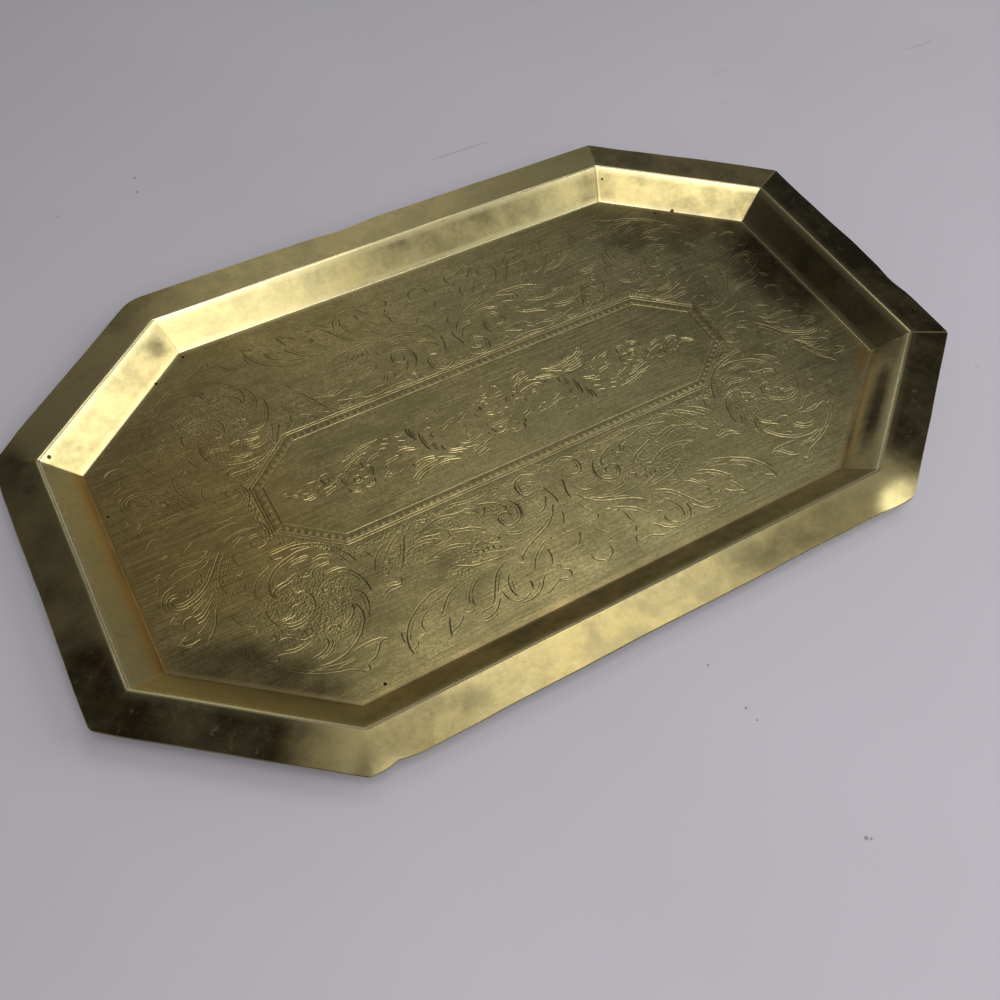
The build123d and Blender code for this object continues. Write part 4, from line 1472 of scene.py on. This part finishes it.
def engrave_ornament(engraving):
    for motif in MOTIFS:
        for weight, stroke in with_echoes(motif):
            for flip_x in (False, True):
                for flip_y in (False, True):
                    engraving.add_groove(mirrored(stroke, flip_x, flip_y), weight)
    panel = with_close_echoes(GARLAND)
    panel += [
        (weight, [(2 * MIDDLE_X - x, GARLAND_TURN_Y - y) for x, y in stroke]) for weight, stroke in panel
    ]
    panel += with_close_echoes(MIDDLE_FLOWERS)
    for (width, depth), stroke in panel:
        engraving.add_groove(stroke, (PANEL_WIDER * width, PANEL_DEEPER * depth), *PANEL_CUT)


# The tray

class Surface:
    """The tray's vertices and faces, and the values that its material reads at each vertex."""

    VALUES = ("groove", "dark", "warm", "green", "brushed", "punched", "rubbed")

    def __init__(self):
        self.vertices = []
        self.faces = []
        self.values = {name: [] for name in self.VALUES}

    def add(self, vertex, **values):
        """A new vertex, with the values that aren't nought. Returns its number."""
        self.vertices.append(Vector(vertex))
        for name in self.VALUES:
            self.values[name].append(values.get(name, 0.0))
        return len(self.vertices) - 1


def add_rings(surface, rows, top_count):
    """The pressing without the middle of its floor: rings of stations, joined by quads."""
    for row, (inset, height) in enumerate(rows):
        from_foot = inset - FOOT_INSET
        # Painted highlight along the shoulder bend, partly worn-bright brass
        shoulder = smooth_step(2 * (1 - abs(inset - RIM_WIDTH) / SHOULDER_HIGHLIGHT_REACH))
        for (side, share), (place, outward) in zip(STATIONS, ring(inset)):
            out, lift = hand_made(place.x, place.y, max(inset, 0))
            moved = place + outward * out
            from_start = share * SIDE_LENGTHS[side]
            from_end = SIDE_LENGTHS[side] - from_start
            # Dark patina, on the rim and walls partly a painted dark reflection, and warm stain
            dark, warm = patina_and_dark_reflection(place.x, place.y, inset, side, from_start, from_end)
            # Painted highlight along the foot bend, partly worn-bright brass, weaker where the foot is
            # stained
            foot = smooth_step(2 * (1 - abs(from_foot) / FOOT_HIGHLIGHT_REACH)) * (1 - FOOT_STAINS[side])
            rub_and_highlight = max(shoulder, FOOT_RUB_AND_HIGHLIGHT * foot)
            if row >= top_count:
                dark = max(dark, UNDER_DARK)
                warm = 0.0
                rub_and_highlight = 0.0
            # Painted highlight on the cut edge, partly worn-bright brass
            if abs(row - top_count) < 2:
                rub_and_highlight = EDGE_RUB_AND_HIGHLIGHT
            surface.add(
                (moved.x, moved.y, height + lift),
                dark=dark,
                warm=warm,
                green=greenness(place.x) * smooth_step((from_foot + 1) / FLOOR_LOOK_FADE),
                brushed=WALL_BRUSHED + (1 - WALL_BRUSHED) * smooth_step(from_foot / FLOOR_LOOK_FADE),
                rubbed=rub_and_highlight,
            )
    count = len(STATIONS)
    for row in range(len(rows) - 1):
        base = row * count
        for index in range(count):
            after = (index + 1) % count
            surface.faces.append((base + index, base + count + index, base + count + after, base + after))


def plain_floor_points(engraving):
    """A grid of places over the floor, wherever it leaves room for the engraving."""
    border = tray_octagon(FOOT_INSET + FLOOR_STRIP + GRID_WALL_ROOM)
    columns = math.floor(FOOT_CORNERS[1].x / GRID_GAP)
    rows = math.floor(FOOT_CORNERS[3].y / GRID_GAP)
    places = []
    for column in range(-columns, columns + 1):
        for row in range(-rows, rows + 1):
            place = Vector((column * GRID_GAP + GRID_LEAN * row, row * GRID_GAP))
            if inside(place, border) and engraving.leaves_room(place, GRID_CUT_ROOM):
                places.append(place)
    return places


def add_floor(surface):
    """The engraved floor inside the first ring, in triangles that follow the cuts."""
    engraving = Engraving()
    engrave_frame(engraving)
    engrave_ornament(engraving)
    count = len(STATIONS)
    points = [vertex.xy for vertex in surface.vertices[:count]]
    points += engraving.points + plain_floor_points(engraving)
    edges = [(index, (index + 1) % count) for index in range(count)]
    edges += [(start + count, end + count) for start, end in engraving.edges]
    found, _, triangles, origins, _, _ = delaunay_2d_cdt(points, edges, [], 1, FLOOR_MERGE)
    number = {index: source for index, sources in enumerate(origins) for source in sources if source < count}
    for index, place in enumerate(found):
        if index in number:
            continue
        worked, share_of_cut = engraving.height(place)
        worn = patch_strength(WORN, place.x, place.y)
        level = SHEET + floor_sag(place.x, place.y) + worked * (1 - worn)
        number[index] = surface.add(
            (place.x, place.y, level),
            groove=share_of_cut * (1 + MORE_DIRT * worn),
            dark=patch_strength(FLOOR_DARK, place.x, place.y),
            warm=patch_strength(WARM, place.x, place.y),
            green=greenness(place.x),
            brushed=1.0,
            punched=punched(place.x, place.y),
        )
    surface.faces.extend(tuple(number[index] for index in triangle) for triangle in triangles)


def add_underside(surface, first):
    """The flat underside within the last ring, whose vertices start at the given number."""
    count = len(STATIONS)
    points = [vertex.xy for vertex in surface.vertices[first:first + count]]
    edges = [(index, (index + 1) % count) for index in range(count)]
    _, _, triangles, origins, _, _ = delaunay_2d_cdt(points, edges, [], 1, UNDER_MERGE)
    surface.faces.extend(
        tuple(first + origins[index][0] for index in reversed(triangle)) for triangle in triangles
    )


def make_tray():
    rows, top_count = section_rows()
    surface = Surface()
    add_rings(surface, rows, top_count)
    add_floor(surface)
    add_underside(surface, (len(rows) - 1) * len(STATIONS))
    mesh = bpy.data.meshes.new("tray_sheet")
    mesh.from_pydata([vertex * MM for vertex in surface.vertices], [], surface.faces)
    for name, values in surface.values.items():
        mesh.attributes.new(name, "FLOAT", "POINT").data.foreach_set("value", values)
    mesh.validate()
    tray_object = bpy.data.objects.new("tray_sheet", mesh)
    bpy.context.collection.objects.link(tray_object)
    mesh.shade_smooth()
    mesh.set_sharp_from_angle(angle=math.radians(SHARP_DEGREES))
    keep_grooves_crisp(mesh, surface.values["groove"])
    return tray_object


def keep_grooves_crisp(mesh, grooves):
    """A hard edge wherever a groove meets the plain floor, so that no shading runs out over the floor."""
    cut_faces_at = {}
    faces_at = {}
    for polygon in mesh.polygons:
        cut = any(grooves[index] > FAINTEST_CUT for index in polygon.vertices)
        for key in polygon.edge_keys:
            faces_at[key] = faces_at.get(key, 0) + 1
            cut_faces_at[key] = cut_faces_at.get(key, 0) + cut
    sharp = mesh.attributes["sharp_edge"].data
    for edge in mesh.edges:
        key = tuple(sorted(edge.vertices))
        if 0 < cut_faces_at[key] < faces_at[key]:
            sharp[edge.index].value = True


# The materials

class Nodes:
    """Short calls for building a material's node tree."""

    MAIN_OUTPUTS = {"ShaderNodeAttribute": 2, "ShaderNodeMix": 2}

    def __init__(self, name):
        self.material = bpy.data.materials.new(name)
        self.material.use_nodes = True
        self.tree = self.material.node_tree
        self.tree.nodes.clear()

    def add(self, kind, inputs=None, **settings):
        """A node of a kind, with its settings, and what goes into its inputs: other nodes or plain values."""
        node = self.tree.nodes.new(kind)
        for key, value in settings.items():
            setattr(node, key, value)
        for key, value in (inputs or {}).items():
            socket = node.inputs[key]
            if isinstance(value, bpy.types.Node):
                self.link(value, socket)
            elif isinstance(value, tuple) and socket.type == "RGBA":
                socket.default_value = (*value, 1)
            else:
                socket.default_value = value
        return node

    def link(self, source, target, output=None):
        if output is None:
            output = self.MAIN_OUTPUTS.get(source.bl_idname, 0)
        self.tree.links.new(source.outputs[output], target)

    def principled(self):
        shader = self.add("ShaderNodeBsdfPrincipled")
        output = self.add("ShaderNodeOutputMaterial")
        self.link(shader, output.inputs["Surface"])
        return shader

    def position(self, scale=(1, 1, 1), turn=0.0, shift=(0, 0, 0)):
        coordinates = self.add("ShaderNodeTexCoord")
        mapping = self.add("ShaderNodeMapping", {"Location": shift, "Scale": scale, "Rotation": (0, 0, turn)})
        self.link(coordinates, mapping.inputs["Vector"], "Object")
        return mapping

    def pattern(self, name):
        """The noise that PATTERNS gives for a name, through its ramp if it has one."""
        settings = PATTERNS[name]
        texture = self.add("ShaderNodeTexNoise", {
            "Scale": settings["scale"],
            "Detail": settings["detail"],
            "Roughness": settings.get("roughness", 0.5),
            "Vector": self.position(settings.get("stretch", (1, 1, 1)), settings.get("turn", 0.0)),
        })
        if "low" not in settings:
            return texture
        return self.ramp(texture, settings["low"], settings["high"])

    def attribute(self, name):
        """A value that the mesh carries at its vertices."""
        return self.add("ShaderNodeAttribute", attribute_name=name)

    def spot(self, place, radius):
        """One inside a small ball round a place given in millimetres, and nought outside it."""
        coordinates = self.add("ShaderNodeTexCoord")
        distance = self.add("ShaderNodeVectorMath", operation="DISTANCE")
        self.link(coordinates, distance.inputs[0], "Object")
        distance.inputs[1].default_value = [length * MM for length in place]
        limits = {"From Min": radius * MM, "From Max": radius * SPOT_CORE_SHARE * MM}
        soft = self.add("ShaderNodeMapRange", limits)
        self.link(distance, soft.inputs["Value"], "Value")
        return soft

    def calculate(self, operation, first, second):
        return self.add("ShaderNodeMath", {0: first, 1: second}, operation=operation)

    def times(self, first, second):
        return self.calculate("MULTIPLY", first, second)

    def plus(self, first, second):
        return self.calculate("ADD", first, second)

    def graded(self, source, slope, start):
        """A value that starts somewhere and rises or falls with its source."""
        return self.plus(self.times(source, slope), start)

    def ramp(self, source, low, high):
        """A ramp between two stops, each a place and a colour or a grey value."""
        node = self.add("ShaderNodeValToRGB", {0: source})
        for element, (place, colour) in zip(node.color_ramp.elements, (low, high)):
            if isinstance(colour, (int, float)):
                colour = (colour, colour, colour)
            element.position = place
            element.color = (*colour, 1)
        return node

    def mix(self, factor, first, second, blend="MIX"):
        return self.add("ShaderNodeMix", {0: factor, 6: first, 7: second}, data_type="RGBA", blend_type=blend)

    def bump(self, height, strength, depth, under=None):
        """A relief, over another one if that is given."""
        node = self.add("ShaderNodeBump", {"Strength": strength, "Distance": depth, "Height": height})
        if under:
            self.link(under, node.inputs["Normal"])
        return node


def bare_brass(nodes, warm, green, brushed, mottle):
    """The colour of the metal, with its flecks, smears, grain and warm stains, on the far left a painted warm
    reflection.
    """
    colour = nodes.mix(nodes.pattern("clouds"), DEEP_BRASS, LIGHT_BRASS)
    fleck_share = nodes.graded(brushed, slope=0.36, start=0.10)
    colour = nodes.mix(nodes.times(nodes.pattern("flecks"), fleck_share), colour, FLECK)
    smears = nodes.plus(nodes.pattern("long_smears"), nodes.pattern("broad_smears"))
    smears = nodes.times(nodes.times(smears, brushed), nodes.graded(warm, slope=-1.2, start=0.9))
    colour = nodes.mix(smears, colour, SMEAR)
    colour = nodes.mix(nodes.times(nodes.pattern("spots"), SPOT_SHARE), colour, SPOT)
    colour = nodes.mix(nodes.times(green, GREEN_SHARE), colour, GREENISH)
    colour = nodes.mix(nodes.times(brushed, nodes.times(nodes.pattern("grain"), GRAIN_SHARE)), colour, GRAIN)
    colour = nodes.mix(nodes.times(brushed, nodes.times(nodes.pattern("grit"), GRIT_SHARE)), colour, GRIT)
    colour = nodes.mix(nodes.times(mottle, MOTTLE_SHARE), colour, MOTTLE)
    # Warm stains, and on the far left of the floor a painted warm reflection
    return nodes.mix(nodes.times(warm, nodes.pattern("warm_break")), colour, WARM_STAIN_AND_REFLECTION)


def tarnish_and_dark_reflection_share(nodes, dark, rubbed):
    """Where the dark oxide and painted dark reflection lie: in clouds where neither thick nor gone, and
    thinner where worn bright and highlighted.
    """
    dark_break = nodes.graded(nodes.pattern("dark_break"), slope=5.0, start=-2.5)
    half_dark = nodes.times(dark, nodes.graded(dark, slope=-1, start=1))
    tarnish_and_dark_reflection = nodes.plus(dark, nodes.times(half_dark, dark_break))
    return nodes.times(tarnish_and_dark_reflection, nodes.graded(rubbed, slope=-0.45, start=1))


def with_tarnish_and_painted_light(nodes, colour, dark, rubbed, tarnish_and_dark_reflection):
    """The same colour with dark oxide, a painted dark reflection and crumbs on it, bright where scratched,
    and a painted highlight where worn.
    """
    tarnish_and_dark_reflection_colour = nodes.mix(nodes.pattern("tarnish_and_dark_reflection_clouds"), DEEP_TARNISH_AND_DARK_REFLECTION, THIN_TARNISH_AND_DARK_REFLECTION)
    colour = nodes.mix(tarnish_and_dark_reflection, colour, tarnish_and_dark_reflection_colour)
    crumbs = nodes.times(dark, nodes.pattern("crumbs"))
    colour = nodes.mix(nodes.times(crumbs, CRUMB_SHARE), colour, CRUMB)
    scratches = nodes.plus(nodes.pattern("left_scratches"), nodes.pattern("right_scratches"))
    scratch_share = nodes.graded(dark, slope=-0.1, start=0.14)
    colour = nodes.mix(nodes.times(scratches, scratch_share), colour, SCRATCH)
    rubbed_clean_and_highlight = nodes.times(rubbed, nodes.graded(dark, slope=-0.6, start=1))
    return nodes.mix(nodes.times(rubbed_clean_and_highlight, RUB_AND_HIGHLIGHT_SHARE), colour, RUB_AND_HIGHLIGHT)


def brass_material():
    nodes = Nodes("aged_brass")
    shader = nodes.principled()
    shader.inputs["Metallic"].default_value = 1.0
    groove, dark, warm, green, brushed, punch, rubbed = [nodes.attribute(name) for name in Surface.VALUES]
    mottle = nodes.times(nodes.graded(brushed, slope=-1, start=1), nodes.pattern("mottle"))
    # Tarnish, which on the rim and walls is partly a painted dark reflection
    tarnish_and_dark_reflection = tarnish_and_dark_reflection_share(nodes, dark, rubbed)
    punches = nodes.add("ShaderNodeTexVoronoi", {"Scale": PUNCHES_IN_METRE, "Vector": nodes.position()})
    punch_middles = nodes.ramp(punches, *PUNCH_STOPS)
    groove_dark = nodes.ramp(groove, *GROOVE_STOPS)

    colour = bare_brass(nodes, warm, green, brushed, mottle)
    # Tarnish and painted dark reflection, scratches, and the painted highlight along bends and edge
    colour = with_tarnish_and_painted_light(nodes, colour, dark, rubbed, tarnish_and_dark_reflection)
    colour = nodes.mix(nodes.times(nodes.times(punch, punch_middles), PUNCH_SHARE), colour, PUNCH_SHADE)
    colour = nodes.mix(groove_dark, colour, GROOVE_DIRT)
    for place, radius in PITS:
        colour = nodes.mix(nodes.spot(place, radius), colour, PIT)
    nodes.link(colour, shader.inputs["Base Color"])

    streaks = nodes.plus(nodes.pattern("streaks"), -0.5)
    rough = nodes.graded(nodes.times(streaks, brushed), slope=0.28, start=0.315)
    rough = nodes.plus(rough, nodes.pattern("blotches"))
    for source, change in (
        (mottle, 0.05),
        (tarnish_and_dark_reflection, 0.12),
        (nodes.plus(brushed, -1), 0.05),
        (groove_dark, 0.16),
        (rubbed, -0.06),
    ):
        rough = nodes.plus(rough, nodes.times(source, change))
    nodes.link(rough, shader.inputs["Roughness"])

    relief = nodes.bump(nodes.times(punch, punches), strength=0.8, depth=PUNCH_DEPTH)
    brush_marks = nodes.times(brushed, nodes.pattern("brush_marks"))
    relief = nodes.bump(brush_marks, strength=0.6, depth=BRUSH_DEPTH, under=relief)
    relief = nodes.bump(nodes.pattern("small_dents"), strength=0.3, depth=DENT_DEPTH, under=relief)
    nodes.link(relief, shader.inputs["Normal"])
    return nodes.material


def table_material():
    nodes = Nodes("pale_table")
    shader = nodes.principled()
    shader.inputs["Roughness"].default_value = TABLE_ROUGHNESS
    # A painted falloff of light over the table, shaded at the far left and lit at the near right
    place = nodes.position(TABLE_SLOPE_SCALE, math.radians(TABLE_SLOPE_DEGREES), TABLE_SLOPE_SHIFT)
    slope = nodes.add("ShaderNodeTexGradient", {"Vector": place})
    shade = nodes.ramp(slope, (0.0, TABLE_PAINTED_SHADE), (1.0, TABLE_PAINTED_LIT))
    colour = nodes.mix(1.0, shade, nodes.pattern("table_mottle"), "MULTIPLY")
    flaws = nodes.plus(nodes.pattern("table_specks"), nodes.pattern("table_hairs"))
    colour = nodes.mix(flaws, colour, TABLE_SPECK)
    for mark, radius in TABLE_MARKS:
        colour = nodes.mix(nodes.times(nodes.spot(mark, radius), TABLE_MARK_SHARE), colour, TABLE_MARK)
    nodes.link(colour, shader.inputs["Base Color"])
    return nodes.material


tray = make_tray()
tray.data.materials.append(brass_material())
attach(tray, "root")
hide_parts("tray")

# The table

half = TABLE_SIZE / 2
table_corners = [(-half, -half, 0), (half, -half, 0), (half, half, 0), (-half, half, 0)]
table_mesh = bpy.data.meshes.new("table")
table_mesh.from_pydata(table_corners, [], [(0, 1, 2, 3)])
table = bpy.data.objects.new("table", table_mesh)
bpy.context.collection.objects.link(table)
table.data.materials.append(table_material())

# The camera

camera_data = bpy.data.cameras.new("camera")
camera_data.sensor_width = CAMERA_SENSOR
camera_data.sensor_fit = "HORIZONTAL"
camera_data.lens = CAMERA_LENS
camera_data.clip_start = CAMERA_CLIP_START
camera = bpy.data.objects.new("camera", camera_data)
camera.location = CAMERA_PLACE
camera.rotation_euler = Euler([math.radians(angle) for angle in CAMERA_DEGREES], "XYZ")
bpy.context.collection.objects.link(camera)
bpy.context.scene.camera = camera

# The lamps and the world


def soft_lamp(name, direction, distance, width, height, energy, colour):
    """A large soft lamp that stands in the given direction from the tray and faces it."""
    data = bpy.data.lights.new(name, "AREA")
    data.shape = "RECTANGLE"
    data.size = width
    data.size_y = height
    data.energy = energy
    data.color = colour
    lamp = bpy.data.objects.new(name, data)
    towards = Vector(direction).normalized()
    lamp.location = towards * distance
    lamp.rotation_euler = towards.to_track_quat("Z", "Y").to_euler()
    bpy.context.collection.objects.link(lamp)


for lamp_settings in LAMPS:
    soft_lamp(*lamp_settings)

world = bpy.data.worlds.new("world")
world.use_nodes = True
tree = world.node_tree
fill = tree.nodes["Background"]
fill.inputs["Color"].default_value = FILL_COLOUR
fill.inputs["Strength"].default_value = FILL_STRENGTH
backdrop = tree.nodes.new("ShaderNodeBackground")
backdrop.inputs["Color"].default_value = BACKDROP_COLOUR
backdrop.inputs["Strength"].default_value = BACKDROP_STRENGTH
light_path = tree.nodes.new("ShaderNodeLightPath")
seen = tree.nodes.new("ShaderNodeMixShader")
tree.links.new(light_path.outputs["Is Camera Ray"], seen.inputs["Fac"])
tree.links.new(fill.outputs["Background"], seen.inputs[1])
tree.links.new(backdrop.outputs["Background"], seen.inputs[2])
tree.links.new(seen.outputs["Shader"], tree.nodes["World Output"].inputs["Surface"])
bpy.context.scene.world = world
bpy.context.scene.view_settings.view_transform = "Standard"
